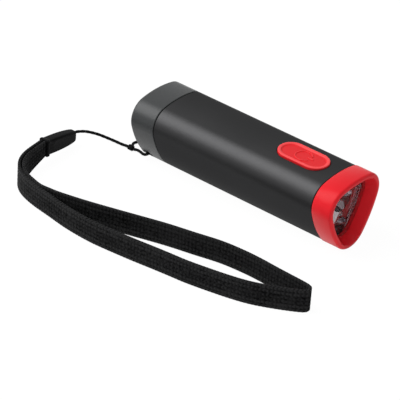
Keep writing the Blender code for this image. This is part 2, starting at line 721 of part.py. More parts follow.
# Light board behind the reflector, with one lamp in each cup
LED_BOARD_BACK = LED_BOARD_FRONT - LED_BOARD_THICKNESS
led_board_stations = [(LED_BOARD_BACK, OPTIC_INSET), (LED_BOARD_FRONT, OPTIC_INSET)]
led_board = add("led_board", loft("led_board", led_board_stations), "green_board")
board_hole = rod("led_board_hole", REFLECTOR_SCREW_RADIUS + CLEARANCE, BAY_END, LENGTH, 12)
cut(led_board, tool(board_hole, **screw_place))
for name, throat, place in (("main_led", MAIN_CUP_THROAT, main_cup), ("keel_led", KEEL_CUP_THROAT, keel_cup)):
    radius = throat - CLEARANCE
    base = LED_BOARD_FRONT + CLEARANCE
    shoulder = base + LED_COLLAR
    dome = [
        (radius * math.cos(TURN * i / LED_STEPS), shoulder + radius * math.sin(TURN * i / LED_STEPS))
        for i in range(LED_STEPS, -1, -1)
    ]
    turned(name, [(0, dome[0][1]), *dome[1:], (radius, base), (0, base)], "led_resin", 16, **place)
screw_top = screw_seat + CLEARANCE + FLANGE_THICKNESS / 2
reflector_screw_profile = [
    (0, screw_top),
    (REFLECTOR_SCREW_HEAD_RADIUS, screw_top),
    (REFLECTOR_SCREW_HEAD_RADIUS, screw_seat + CLEARANCE),
    (REFLECTOR_SCREW_RADIUS, screw_seat + CLEARANCE),
    (REFLECTOR_SCREW_RADIUS, LED_BOARD_BACK - CLEARANCE),
    (0, LED_BOARD_BACK - CLEARANCE),
]
turned("reflector_screw", reflector_screw_profile, "steel", 12, **screw_place)

# Push button: a shell with a raised rim, a flange under the wall and a post over the switch
TOP_CROWN = SIDES[0].y + SIDE_RADIUS
button_top = TOP_CROWN + BUTTON_PROUD
field = button_top - BUTTON_RECESS
flange_reach = BUTTON_HALF_WIDTH + BUTTON_FLANGE
wall_under = SIDES[0].y + math.sqrt((SIDE_RADIUS - WALL) ** 2 - flange_reach**2)
flange_top = wall_under - CLEARANCE
flange_bottom = flange_top - BUTTON_FLANGE_THICKNESS
pocket_roof = field - BUTTON_SHELL
board_top = TRAY_TOP + CLEARANCE + BOARD_THICKNESS
switch_top = board_top + CLEARANCE + SWITCH_HEIGHT
plunger_top = switch_top + BUTTON_TRAVEL
button_stations = [
    (pocket_roof, -BUTTON_SHELL),
    (flange_bottom, -BUTTON_SHELL),
    (flange_bottom, BUTTON_FLANGE),
    (flange_top, BUTTON_FLANGE),
    (flange_top, 0),
    (button_top - BUTTON_EDGE, 0),
    (button_top, -BUTTON_EDGE),
    (button_top, -BUTTON_EDGE - BUTTON_RIM),
    (field, -BUTTON_EDGE - BUTTON_RIM - BUTTON_RECESS),
]
button_rings = [
    [(p.x, p.y, z) for p in pill(BUTTON_HALF_LENGTH + grow, BUTTON_HALF_WIDTH + grow)]
    for z, grow in button_stations
]
button = add("button", skin("button", button_rings), "red_plastic", location=(BUTTON_X, 0, 0))
post = rod("button_post", BUTTON_POST_RADIUS, plunger_top + CLEARANCE, pocket_roof + CLEARANCE)
join(button, tool(post, location=(BUTTON_X, 0, 0)))

relief_floor = flange_bottom - BUTTON_TRAVEL - CLEARANCE
relief_start = BUTTON_X - BUTTON_HALF_LENGTH - BUTTON_FLANGE - CLEARANCE
relief = box("button_relief", (relief_start, -LENGTH, relief_floor), (LENGTH, LENGTH, LENGTH))
cut(chassis, tool(relief))

# Control board on its tray, with the tact switch, a capacitor and the charging chip
tray_end = TONGUE_START - CLEARANCE
tray_mesh = loft("board_tray", [(TRAY_START, FIT_INSET), (tray_end, FIT_INSET)])
board_tray = add("board_tray", tray_mesh, "black_plastic")
tray_low = (0, -LENGTH, TRAY_TOP - TRAY_THICKNESS)
keep(board_tray, tool(box("tray_limit", tray_low, (LENGTH, LENGTH, TRAY_TOP + TRAY_LIP))))
tray_side = BOARD_HALF_WIDTH + CLEARANCE
cut(board_tray, tool(box("board_bed", (0, -tray_side, TRAY_TOP), (LENGTH, tray_side, LENGTH))))
board_end = BOARD_START + BOARD_LENGTH
board_low = (BOARD_START, -BOARD_HALF_WIDTH, TRAY_TOP + CLEARANCE)
board_mesh = box("control_board", board_low, (board_end, BOARD_HALF_WIDTH, board_top))
control_board = add("control_board", board_mesh, "green_board")

switch_base = board_top + CLEARANCE
half_switch = SWITCH_SIDE / 2
switch_low = (-half_switch, -half_switch, switch_base)
switch_high = (half_switch, half_switch, switch_top)
switch_mesh = box("switch_housing", switch_low, switch_high)
switch_housing = add("switch_housing", switch_mesh, "steel", location=(BUTTON_X, 0, 0))
plunger_bottom = plunger_top - PLUNGER_LENGTH
bore_floor = plunger_bottom - BUTTON_TRAVEL - CLEARANCE
switch_bore = rod("switch_bore", PLUNGER_RADIUS + CLEARANCE, bore_floor, plunger_top)
cut(switch_housing, tool(switch_bore, location=(BUTTON_X, 0, 0)))
plunger_profile = [
    (0, plunger_top),
    (PLUNGER_RADIUS, plunger_top),
    (PLUNGER_RADIUS, plunger_bottom),
    (0, plunger_bottom),
]
turned("switch_plunger", plunger_profile, "black_plastic", 16, location=(BUTTON_X, 0, 0))

head_base = board_top + CLEARANCE
board_screw_profile = [
    (0, head_base + BOARD_SCREW_HEAD),
    (BOARD_SCREW_HEAD_RADIUS, head_base + BOARD_SCREW_HEAD),
    (BOARD_SCREW_HEAD_RADIUS, head_base),
    (BOARD_SCREW_RADIUS, head_base),
    (BOARD_SCREW_RADIUS, TRAY_TOP - TRAY_THICKNESS),
    (0, TRAY_TOP - TRAY_THICKNESS),
]
for number, side in ((1, -1), (2, 1)):
    y = side * (BOARD_HALF_WIDTH - BOARD_SCREW_INSET)
    place = {"location": (BOARD_START + BOARD_SCREW_INSET + CLEARANCE, y, 0)}
    turned(f"board_screw_{number}", board_screw_profile, "steel", 12, **place)
    hole = rod(f"board_screw_hole_{number}", BOARD_SCREW_RADIUS + CLEARANCE, -KEEL_RADIUS * 2, 0, 12)
    cut(control_board, tool(hole, **place))
    cut(board_tray, tool(hole.copy(), **place))

capacitor_y = BOARD_HALF_WIDTH - CAPACITOR_RADIUS - CLEARANCE
capacitor_place = {"location": (0, capacitor_y, head_base + CAPACITOR_RADIUS), "rotation": TO_X}
capacitor_end = board_end - 2 * CAPACITOR_RADIUS
capacitor_start = capacitor_end - CAPACITOR_LENGTH
capacitor_profile = [
    (0, capacitor_end),
    (CAPACITOR_RADIUS, capacitor_end),
    (CAPACITOR_RADIUS, capacitor_start),
    (0, capacitor_start),
]
turned("capacitor", capacitor_profile, "black_plastic", 16, **capacitor_place)
chip_corner = Vector((board_end - CHIP_SIZE[0] - CLEARANCE, -BOARD_HALF_WIDTH + CLEARANCE, head_base))
add("charge_chip", box("charge_chip", chip_corner, chip_corner + Vector(CHIP_SIZE)), "black_plastic")


# Gear train: each wheel and the pinion that it drives are one moulding on a steel pin
def gear_outline(teeth, turn=0.0):
    """A spur gear's outline with flat-sided teeth, one of them on local X before the turn."""
    pitch_radius = MODULE * teeth / 2
    root = pitch_radius - 0.95 * MODULE
    tip = pitch_radius + 0.75 * MODULE
    pitch = 2 * math.pi / teeth
    corners = ((root, -0.31), (tip, -0.11), (tip, 0.11), (root, 0.31))
    points = []
    for tooth in range(teeth):
        for radius, share in corners:
            angle = turn + pitch * (tooth + share)
            points.append(Vector((radius * math.cos(angle), radius * math.sin(angle))))
    return points


HALF_PITCH = math.pi / PINION_TEETH
cover_bottom = -COVER_DEPTH - COVER_THICKNESS
hub_top = cover_bottom - CLEARANCE
hub_bottom = -PLATE_DEPTH + CLEARANCE
pin_top = -COVER_DEPTH - CLEARANCE
pin_bottom = -PLATE_UNDER + CLEARANCE

crank_bottom = -CRANK_GEAR_DEPTH - CRANK_GEAR_THICKNESS
crank_mesh = flat("crank_gear", gear_outline(CRANK_TEETH), crank_bottom, -CRANK_GEAR_DEPTH)
crank_gear = add("crank_gear", crank_mesh, "white_nylon", far_face, (CRANK_X, 0, 0))
cut(crank_gear, tool(rod("crank_gear_bore", SHAFT_HOLE, -LENGTH, LENGTH, 24), far_face, (CRANK_X, 0, 0)))

for name, x, wheel_depth, pinion_top in (
    ("first_gear", FIRST_X, WHEEL_DEPTH, -CRANK_GEAR_DEPTH),
    ("second_gear", SECOND_X, SECOND_DEPTH, -WHEEL_DEPTH),
):
    wheel_bottom = -wheel_depth - WHEEL_THICKNESS
    wheel_mesh = flat(name, gear_outline(WHEEL_TEETH), wheel_bottom, -wheel_depth)
    gear = add(name, wheel_mesh, "white_nylon", far_face, (x, 0, 0))
    pinion_outline = gear_outline(PINION_TEETH, HALF_PITCH)
    pinion_mesh = flat(name + "_pinion", pinion_outline, -wheel_depth - CLEARANCE, pinion_top)
    hub_mesh = rod(name + "_hub", HUB_RADIUS, hub_bottom, hub_top, 12)
    join(gear, tool(pinion_mesh, far_face, (x, 0, 0)), tool(hub_mesh, far_face, (x, 0, 0)))
    cut(gear, tool(rod(name + "_bore", PIN_HOLE, -LENGTH, LENGTH, 12), far_face, (x, 0, 0)))
    add(name + "_pin", rod(name + "_pin", PIN_RADIUS, pin_bottom, pin_top, 12), "steel", far_face, (x, 0, 0))

# Gearbox cover with its four sunk screws
cover_start = BAY_START + CLEARANCE
cover_end = BAY_END - CLEARANCE
cover_mesh = loft("gearbox_cover", [(cover_start, FIT_INSET), (cover_end, FIT_INSET)])
gearbox_cover = add("gearbox_cover", cover_mesh, "black_plastic")
cover_slab = box("cover_slab", (0, -LENGTH, cover_bottom), (LENGTH, LENGTH, -COVER_DEPTH))
keep(gearbox_cover, tool(cover_slab, far_face))
for name, x, radius in (
    ("cover_crank_hole", CRANK_X, SHAFT_HOLE),
    ("cover_first_hole", FIRST_X, PIN_HOLE),
    ("cover_second_hole", SECOND_X, PIN_HOLE),
    ("cover_rotor_hole", ROTOR_X, PIN_HOLE),
):
    cut(gearbox_cover, tool(rod(name, radius, cover_bottom - WALL, 0, 16), far_face, (x, 0, 0)))
seat = cover_bottom + COVER_THICKNESS - COVER_SCREW_HEAD - CLEARANCE
cover_screw_profile = [
    (0, seat + CLEARANCE + COVER_SCREW_HEAD - CLEARANCE / 2),
    (COVER_SCREW_HEAD_RADIUS, seat + CLEARANCE + COVER_SCREW_HEAD - CLEARANCE / 2),
    (COVER_SCREW_HEAD_RADIUS, seat + CLEARANCE),
    (COVER_SCREW_RADIUS, seat + CLEARANCE),
    (COVER_SCREW_RADIUS, post_top - COVER_SCREW_LENGTH + CLEARANCE),
    (0, post_top - COVER_SCREW_LENGTH + CLEARANCE),
]
for number, (x, y) in enumerate(POSTS, 1):
    turned(f"gearbox_screw_{number}", cover_screw_profile, "steel", 12, parent=far_face, location=(x, y, 0))
    head_hole = rod(f"cover_seat_{number}", COVER_SCREW_HEAD_RADIUS + CLEARANCE, seat, 0, 12)
    shank_hole = rod(f"cover_shank_{number}", screw_hole, cover_bottom - WALL, 0, 8)
    cut(gearbox_cover, tool(head_hole, far_face, (x, y, 0)), tool(shank_hole, far_face, (x, y, 0)))

# Generator: a ring magnet turns inside a coil in a steel can
can_top = -PLATE_UNDER - CLEARANCE
can_bottom = can_top - STATOR_LENGTH
can_floor = can_bottom + STATOR_WALL
inner_radius = STATOR_RADIUS - STATOR_WALL
stator_profile = [
    (STATOR_RADIUS, can_top),
    (STATOR_RADIUS, can_bottom),
    (PIN_HOLE, can_bottom),
    (PIN_HOLE, can_floor),
    (inner_radius, can_floor),
    (inner_radius, can_top),
]
generator = {"parent": far_face, "location": (ROTOR_X, 0, 0)}
turned("stator_can", stator_profile, "steel", **generator)
coil_outer = inner_radius - CLEARANCE
coil_inner = coil_outer - COIL_THICKNESS
coil_profile = [
    (coil_outer, can_top - CLEARANCE),
    (coil_outer, can_floor + CLEARANCE),
    (coil_inner, can_floor + CLEARANCE),
    (coil_inner, can_top - CLEARANCE),
]
turned("coil", coil_profile, "copper", **generator)
magnet_radius = coil_inner - MAGNET_AIR_GAP
magnet_top = can_top - 2 * CLEARANCE
magnet_profile = [
    (magnet_radius, magnet_top),
    (magnet_radius, magnet_top - MAGNET_LENGTH),
    (PIN_HOLE, magnet_top - MAGNET_LENGTH),
    (PIN_HOLE, magnet_top),
]
turned("rotor_magnet", magnet_profile, "ferrite", **generator)
rotor_pinion_top = -SECOND_DEPTH
rotor_mesh = flat("rotor_shaft", gear_outline(PINION_TEETH, HALF_PITCH), hub_bottom, rotor_pinion_top)
rotor_shaft = add("rotor_shaft", rotor_mesh, "steel", **generator)
join(rotor_shaft, tool(rod("rotor_spindle", PIN_RADIUS, can_bottom + CLEARANCE, pin_top, 12), **generator))

# Crank shaft, arm and the screw that holds the arm on
arm_bottom = BOSS_PROUD + CLEARANCE
arm_top = arm_bottom + ARM_THICKNESS
screw_recess = CRANK_SCREW_HEAD + 2 * CLEARANCE
shaft_top = arm_top - screw_recess - CLEARANCE
shaft_shoulder = -PLATE_DEPTH + CLEARANCE
screw_end = arm_top - CRANK_SCREW_LENGTH - CRANK_SCREW_HEAD
shaft_profile = [
    (SHAFT_RADIUS, shaft_top),
    (SHAFT_RADIUS, shaft_shoulder),
    (SHAFT_PIVOT_RADIUS, shaft_shoulder),
    (SHAFT_PIVOT_RADIUS, -PLATE_UNDER),
    (0, -PLATE_UNDER),
]
crank_place = {"parent": far_face, "location": (CRANK_X, 0, 0)}
crank_shaft = turned("crank_shaft", [(0, shaft_top), *shaft_profile], "steel", **crank_place)
screw_well = rod("screw_well", CRANK_SCREW_RADIUS + CLEARANCE, screw_end - CLEARANCE, LENGTH, 16)
cut(crank_shaft, tool(screw_well, **crank_place))

lean = math.acos((ARM_HUB_RADIUS - ARM_TIP_RADIUS) / ARM_REACH)
arm_outline = arc(Vector((0, 0)), ARM_HUB_RADIUS, lean, -lean, 16)
arm_outline += arc(Vector((ARM_REACH, 0)), ARM_TIP_RADIUS, -lean, lean, 12)
arm_mesh = flat("crank_arm", arm_outline, arm_bottom, arm_top)
crank_arm = add("crank_arm", arm_mesh, "black_plastic", **crank_place)
rounding = crank_arm.modifiers.new("edge", "BEVEL")
rounding.width = ARM_EDGE
rounding.segments = 1
rounding.limit_method = "ANGLE"
rounding.angle_limit = math.radians(40)
knob_end = KNOB_START + KNOB_LENGTH
slot_half = KNOB_RADIUS + CLEARANCE
slot_low = (ARM_REACH - knob_end - 2 * CLEARANCE, -slot_half, -LENGTH)
slot_high = (ARM_REACH + EYE_RADIUS + 3 * CLEARANCE, slot_half, LENGTH)
knob_level = (arm_bottom + arm_top) / 2
knob_origin = (CRANK_X + ARM_REACH, 0, knob_level)
cut(
    crank_arm,
    tool(box("knob_slot", slot_low, slot_high), **crank_place),
    tool(rod("arm_bore", SHAFT_HOLE, -LENGTH, LENGTH, 24), **crank_place),
    tool(
        rod("arm_recess", CRANK_SCREW_HEAD_RADIUS + CLEARANCE, arm_top - screw_recess, LENGTH, 24),
        **crank_place,
    ),
    tool(rod("arm_pin_hole", KNOB_PIN_RADIUS + CLEARANCE, -LENGTH, LENGTH, 12), far_face, knob_origin, TO_Y),
)
head_bottom = arm_top - CRANK_SCREW_HEAD
crank_screw_profile = [
    (0, arm_top),
    (CRANK_SCREW_HEAD_RADIUS, arm_top),
    (CRANK_SCREW_HEAD_RADIUS, head_bottom),
    (CRANK_SCREW_RADIUS, head_bottom),
    (CRANK_SCREW_RADIUS, screw_end),
    (0, screw_end),
]
turned("crank_screw", crank_screw_profile, "steel", 16, **crank_place)

# Knob, folded into the arm's slot: a grip that turns on a stem, which hinges on a cross pin
pin_half = ARM_TIP_RADIUS - CLEARANCE
knob_pin_mesh = rod("knob_pin", KNOB_PIN_RADIUS, -pin_half, pin_half, 12)
add("knob_pin", knob_pin_mesh, "steel", far_face, knob_origin, TO_Y)
TO_TAIL = (0, -math.pi / 2, 0)
eye_half = slot_half - CLEARANCE
stem_head_top = knob_end - CLEARANCE
stem_head_bottom = stem_head_top - STEM_HEAD
stem_profile = [
    (0, stem_head_top),
    (STEM_HEAD_RADIUS, stem_head_top),
    (STEM_HEAD_RADIUS, stem_head_bottom),
    (STEM_RADIUS, stem_head_bottom),
    (STEM_RADIUS, EYE_RADIUS / 2),
    (0, EYE_RADIUS / 2),
]
stem_place = {"parent": far_face, "location": knob_origin, "rotation": TO_TAIL}
knob_stem = turned("knob_stem", stem_profile, "steel", 16, **stem_place)
join(knob_stem, tool(rod("stem_eye", EYE_RADIUS, -eye_half, eye_half), far_face, knob_origin, TO_Y))
eye_bore = rod("eye_bore", KNOB_PIN_RADIUS + CLEARANCE, -LENGTH, LENGTH, 12)
cut(knob_stem, tool(eye_bore, far_face, knob_origin, TO_Y))
grip_floor = stem_head_bottom - CLEARANCE
grip_profile = [
    (KNOB_RADIUS - ARM_EDGE, knob_end),
    (KNOB_RADIUS, knob_end - ARM_EDGE),
    (KNOB_RADIUS, KNOB_START + ARM_EDGE),
    (KNOB_RADIUS - ARM_EDGE, KNOB_START),
    (STEM_RADIUS + CLEARANCE, KNOB_START),
    (STEM_RADIUS + CLEARANCE, grip_floor),
    (STEM_HEAD_RADIUS + CLEARANCE, grip_floor),
    (STEM_HEAD_RADIUS + CLEARANCE, knob_end),
]
turned("knob_grip", grip_profile, "red_plastic", parent=far_face, location=knob_origin, rotation=TO_TAIL)

# Wires: two each from the battery, the generator and the light board to the control board
WIRE_GAP = 0.0018
battery_front = BAY_START + 2 * CLEARANCE + BATTERY_LENGTH + BATTERY_POLE_HEIGHT + CLEARANCE
wire_end = BOARD_START + BATTERY_POLE_RADIUS
for number, side in ((1, -0.5), (2, 0.5)):
    y = -TOP_CENTRE.x + side * WIRE_GAP
    route = [
        (battery_front, y, TOP_CENTRE.y),
        (RIB_END, y, TOP_CENTRE.y),
        ((RIB_END + BAY_END) / 2, y, (TOP_CENTRE.y + wire_level) / 2),
        (BAY_END - 4 * WIRE_RADIUS, y, wire_level),
        (wire_end, y, wire_level),
    ]
    tube(f"battery_wire_{number}", smooth_route(route, 2), WIRE_RADIUS, "red_plastic")

ACROSS = Vector((-FAR_NORMAL.y, FAR_NORMAL.x))
can_back = FAR_POINT + FAR_NORMAL * (can_bottom - CLEARANCE) + ACROSS * 2 * WIRE_GAP
clear_of_can = can_back - FAR_NORMAL * WIRE_GAP / 2
for number, side in ((1, -0.5), (2, 0.5)):
    x = ROTOR_X + 1.5 * side * WIRE_GAP
    y = -TOP_CENTRE.x + (1.85 + side) * WIRE_GAP
    route = [
        (x, can_back.x, can_back.y),
        (x, clear_of_can.x, clear_of_can.y),
        (x + WIRE_GAP, y, wire_level),
        (BAY_END - WIRE_GAP, y, wire_level),
        (wire_end, y, wire_level),
    ]
    tube(f"generator_wire_{number}", smooth_route(route, 2), WIRE_RADIUS, "copper")

light_start = BUTTON_X + SWITCH_SIDE
light_end = LED_BOARD_BACK - CLEARANCE
for number, side in ((1, -1), (2, 1)):
    route = [
        (light_start, side * WIRE_GAP, wire_level),
        (board_end, side * WIRE_GAP, wire_level),
        (light_end, side * WIRE_GAP, wire_level),
    ]
    tube(f"light_wire_{number}", smooth_route(route, 1), WIRE_RADIUS, "black_plastic")

# Webbing: one band on its edge, doubled from the sleeve round the left bend
outer_layer = [
    (-0.0295, -0.0413),
    (-0.0292, -0.0440),
    (-0.0289, -0.0470),
    (-0.0285, -0.0502),
    (-0.0278, -0.0538),
    (-0.0266, -0.0572),
    (-0.0248, -0.0604),
    (-0.0224, -0.0632),
    (-0.0194, -0.0656),
    (-0.0160, -0.0674),
    (-0.0120, -0.0688),
    (-0.0060, -0.0702),
]
near_band = [
    (0.0025, -0.0715),
    (0.0140, -0.0733),
    (0.0240, -0.0740),
    (0.0330, -0.0739),
    (0.0490, -0.0724),
    (0.0600, -0.0710),
    (0.0685, -0.0700),
    (0.0775, -0.0690),
    (0.0906, -0.0665),
    (0.0990, -0.0645),
    (0.1050, -0.0626),
    (0.1104, -0.0602),
    (0.1170, -0.0567),
    (0.1230, -0.0530),
    (0.1252, -0.0510),
    (0.1253, -0.0490),
    (0.1236, -0.0478),
]
far_band = [
    (0.1200, -0.0474),
    (0.1130, -0.0472),
    (0.1063, -0.0470),
    (0.0980, -0.0466),
    (0.0890, -0.0467),
    (0.0780, -0.0478),
    (0.0655, -0.0508),
    (0.0540, -0.0535),
    (0.0444, -0.0563),
    (0.0320, -0.0601),
    (0.0176, -0.0643),
    (0.0050, -0.0673),
    (-0.0010, -0.0681),
]


def sideways(route, index):
    """The unit vector to the left of a flat route at one of its points."""
    ahead = route[min(index + 1, len(route) - 1)]
    behind = route[max(index - 1, 0)]
    direction = (Vector(ahead) - Vector(behind)).normalized()
    return Vector((-direction.y, direction.x))


inner_layer = [Vector(point) + sideways(outer_layer, i) * LAYER_PITCH for i, point in enumerate(outer_layer)]
strap_route = smooth_route([*outer_layer, *near_band, *far_band, *reversed(inner_layer)], 2)
half_thick = WEBBING_THICKNESS / 2
left_edge = [point + sideways(strap_route, i) * half_thick for i, point in enumerate(strap_route)]
right_edge = [point - sideways(strap_route, i) * half_thick for i, point in enumerate(strap_route)]
webbing_outline = left_edge + right_edge[::-1]
webbing_mesh = flat("webbing", webbing_outline, FLOOR, FLOOR + WEBBING_WIDTH)
webbing = add("webbing", webbing_mesh, "black_webbing")
SLEEVE_MOUTH_MID = FLOOR + 0.0073
SLEEVE_TIP_MID = FLOOR + 0.0048
SLEEVE_HEIGHT = 0.0083
TAPER_LENGTH = 0.0115
taper_rise = SLEEVE_MOUTH_MID - SLEEVE_HEIGHT / 2 - FLOOR + CLEARANCE / 2
taper_side = [
    (SLEEVE_MOUTH_Y - TAPER_LENGTH, FLOOR),
    (SLEEVE_MOUTH_Y, FLOOR + taper_rise),
    (SLEEVE_MOUTH_Y, FLOOR - taper_rise),
    (SLEEVE_MOUTH_Y - TAPER_LENGTH, FLOOR - taper_rise),
]
taper_reach = (outer_layer[0][0] - 2 * LAYER_PITCH, inner_layer[0].x + 3 * LAYER_PITCH)
cut(webbing, tool(skin("strap_taper", [[(x, y, z) for y, z in taper_side] for x in taper_reach])))

# Sleeve: a moulded crimp over the webbing's two ends, which tapers to the cord
SLEEVE_AXIS = ((outer_layer[0][0] + inner_layer[0].x) / 2, -0.0291)
sleeve_sections = [
    (0.00, 0.98, 0.0048),
    (0.01, 1.00, 0.0053),
    (0.07, 1.00, 0.0053),
    (0.10, 0.95, 0.0047),
    (0.40, 0.92, 0.0047),
    (0.65, 0.85, 0.0045),
    (0.85, 0.75, 0.0040),
    (0.97, 0.64, 0.0034),
    (1.00, 0.54, 0.0028),
]


def soft_box(width, height, corner, steps=3):
    """A rounded rectangle about the origin."""
    points = []
    for i, (x, y) in enumerate(((1, 1), (-1, 1), (-1, -1), (1, -1))):
        centre = Vector((x * (width / 2 - corner), y * (height / 2 - corner)))
        points += arc(centre, corner, i * TURN, (i + 1) * TURN, steps)
    return points


sleeve_rings = [
    [
        (
            SLEEVE_AXIS[0] + (SLEEVE_AXIS[1] - SLEEVE_AXIS[0]) * share + p.x,
            SLEEVE_MOUTH_Y + SLEEVE_LENGTH * share,
            SLEEVE_MOUTH_MID + (SLEEVE_TIP_MID - SLEEVE_MOUTH_MID) * share + p.y,
        )
        for p in soft_box(thickness, SLEEVE_HEIGHT * fullness, WEBBING_THICKNESS)
    ]
    for share, fullness, thickness in sleeve_sections
]
add("strap_sleeve", skin("strap_sleeve", sleeve_rings), "rubber")

# Cord from the sleeve to the hitch, and its loop through the cross hole of the cap
HITCH_AT = (-0.0076, -0.0062, FLOOR + HITCH_RADIUS + CLEARANCE / 3)
cord_points = [
    (-0.0291, -0.0200, -0.0267),
    (-0.0290, -0.0187, -0.0267),
    (-0.0286, -0.0172, -0.0270),
    (-0.0276, -0.0149, -0.0275),
    (-0.0262, -0.0130, -0.0281),
    (-0.0237, -0.0107, -0.0290),
    (-0.0209, -0.0090, -0.0299),
    (-0.0166, -0.0073, -0.0309),
    (-0.0126, -0.0064, -0.0314),
    (-0.0107, -0.0062, -0.0313),
    (-0.0095, -0.0062, -0.0312),
]
tube("lanyard_cord", cord_points, CORD_RADIUS, "black_webbing", 2)
loop_points = [
    (-0.0057, -0.0062, -0.0311),
    (-0.0042, -0.0061, -0.0308),
    (-0.0020, -0.0068, -0.0303),
    (0.0001, -0.0079, -0.0297),
    (0.0017, -0.0088, -0.0292),
    (0.0031, -0.0089, -0.0288),
    (0.0039, -0.0077, -0.0284),
    (0.0046, -0.0060, -0.0282),
    (0.0052, -0.0034, -0.0282),
    (0.0054, 0.0000, -0.0282),
    (0.0052, 0.0034, -0.0282),
    (0.0046, 0.0060, -0.0282),
    (0.0039, 0.0076, -0.0284),
    (0.0031, 0.0086, -0.0289),
    (0.0017, 0.0085, -0.0296),
    (-0.0002, 0.0076, -0.0303),
    (-0.0032, 0.0056, -0.0310),
    (-0.0066, 0.0034, -0.0315),
    (-0.0092, 0.0008, -0.0317),
    (-0.0098, -0.0016, -0.0316),
    (-0.0090, -0.0034, -0.0314),
    (-0.0082, -0.0045, -0.0311),
]
tube("lanyard_loop", loop_points, CORD_RADIUS, "black_webbing", 2)
half_hitch = HITCH_LENGTH / 2
hitch_profile = [
    (half_hitch * 0.0, half_hitch),
    (HITCH_RADIUS * 0.7, half_hitch * 0.9),
    (HITCH_RADIUS, half_hitch * 0.4),
    (HITCH_RADIUS, -half_hitch * 0.4),
    (HITCH_RADIUS * 0.7, -half_hitch * 0.9),
    (0, -half_hitch),
]
turned("cord_hitch", hitch_profile, "rubber", 12, location=HITCH_AT, rotation=TO_X)

# Rest the torch on its keel, with the origin under the middle of all but the strap
STRAP_PIECES = {"webbing", "strap_sleeve", "lanyard_cord", "lanyard_loop", "cord_hitch"}
bpy.context.view_layer.update()
graph = bpy.context.evaluated_depsgraph_get()
corners = []
for obj in parts.objects:
    if obj.type == "MESH" and obj.name not in STRAP_PIECES:
        evaluated = obj.evaluated_get(graph)
        corners += [evaluated.matrix_world @ vertex.co for vertex in evaluated.data.vertices]
low = [min(corner[axis] for corner in corners) for axis in range(3)]
high = [max(corner[axis] for corner in corners) for axis in range(3)]
torch.location = (-(low[0] + high[0]) / 2, -(low[1] + high[1]) / 2, -low[2])
bpy.context.view_layer.update()
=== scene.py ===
"""A crank torch with a folding handle and a wrist strap, dressed for its picture."""

import math

import bmesh
import bpy
from mathutils import Matrix, Vector


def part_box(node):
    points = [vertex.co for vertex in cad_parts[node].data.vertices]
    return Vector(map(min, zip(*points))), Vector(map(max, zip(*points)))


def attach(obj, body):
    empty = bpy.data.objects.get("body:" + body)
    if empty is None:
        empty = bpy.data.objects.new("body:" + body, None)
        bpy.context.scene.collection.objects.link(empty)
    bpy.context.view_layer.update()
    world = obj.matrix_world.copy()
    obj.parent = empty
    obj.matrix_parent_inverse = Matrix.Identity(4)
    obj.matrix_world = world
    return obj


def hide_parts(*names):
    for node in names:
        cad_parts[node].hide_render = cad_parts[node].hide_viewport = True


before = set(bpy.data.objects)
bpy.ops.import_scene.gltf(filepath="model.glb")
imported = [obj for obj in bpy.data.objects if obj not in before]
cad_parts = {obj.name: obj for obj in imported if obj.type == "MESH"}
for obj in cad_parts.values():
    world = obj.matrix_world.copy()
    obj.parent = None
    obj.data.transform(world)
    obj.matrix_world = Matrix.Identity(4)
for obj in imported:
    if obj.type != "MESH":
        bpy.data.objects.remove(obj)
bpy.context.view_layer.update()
scene = bpy.context.scene

# Studio
# A white table and a white room. The camera stands off the torch's front end and looks down on
# it through a long lens, so that the barrel hardly tapers.
BEZEL_LOW, BEZEL_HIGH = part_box("bezel")
LENGTH = 0.110
FLOOR = -0.03242
HOME = Matrix.Translation((BEZEL_HIGH[0] - LENGTH, (BEZEL_LOW[1] + BEZEL_HIGH[1]) / 2, -FLOOR))
EYE = Vector((0.61817, -0.76798, 0.56975))
LOOK = Vector((-0.51426, 0.66943, -0.53609)).normalized()
IMAGE_UP = Vector((-0.38087, 0.38180, 0.84212))
LENS_MM = 234
SENSOR_MM = 36


def in_scene(name, data):
    """A new object in the scene."""
    made = bpy.data.objects.new(name, data)
    scene.collection.objects.link(made)
    return made


across = LOOK.cross(IMAGE_UP).normalized()
upright = across.cross(LOOK)
camera = in_scene("camera", bpy.data.cameras.new("camera"))
turn = Matrix((across, upright, -LOOK)).transposed().to_4x4()
camera.matrix_world = HOME @ Matrix.Translation(EYE) @ turn
camera.data.lens = LENS_MM
camera.data.sensor_width = SENSOR_MM
camera.data.clip_start = 0.01
scene.camera = camera
scene.view_settings.view_transform = "Standard"


class Wire:
    """A node's output. Python's operators on it add Math nodes."""

    def __init__(self, nodes, socket):
        self.nodes = nodes
        self.socket = socket

    def __getitem__(self, name):
        return Wire(self.nodes, self.socket.node.outputs[name])

    def maths(self, operation, *values):
        return self.nodes.node("ShaderNodeMath", {"operation": operation}, dict(enumerate(values)))

    def __add__(self, other):
        return self.maths("ADD", self, other)

    def __sub__(self, other):
        return self.maths("SUBTRACT", self, other)

    def __rsub__(self, other):
        return self.maths("SUBTRACT", other, self)

    def __mul__(self, other):
        return self.maths("MULTIPLY", self, other)

    def __truediv__(self, other):
        return self.maths("DIVIDE", self, other)

    def __pow__(self, other):
        return self.maths("POWER", self, other)

    def __gt__(self, other):
        return self.maths("GREATER_THAN", self, other)

    __radd__ = __add__
    __rmul__ = __mul__

    def sine(self):
        return self.maths("SINE", self)

    def absolute(self):
        return self.maths("ABSOLUTE", self)

    def clamped(self):
        return self.nodes.node("ShaderNodeClamp", {}, {0: self})


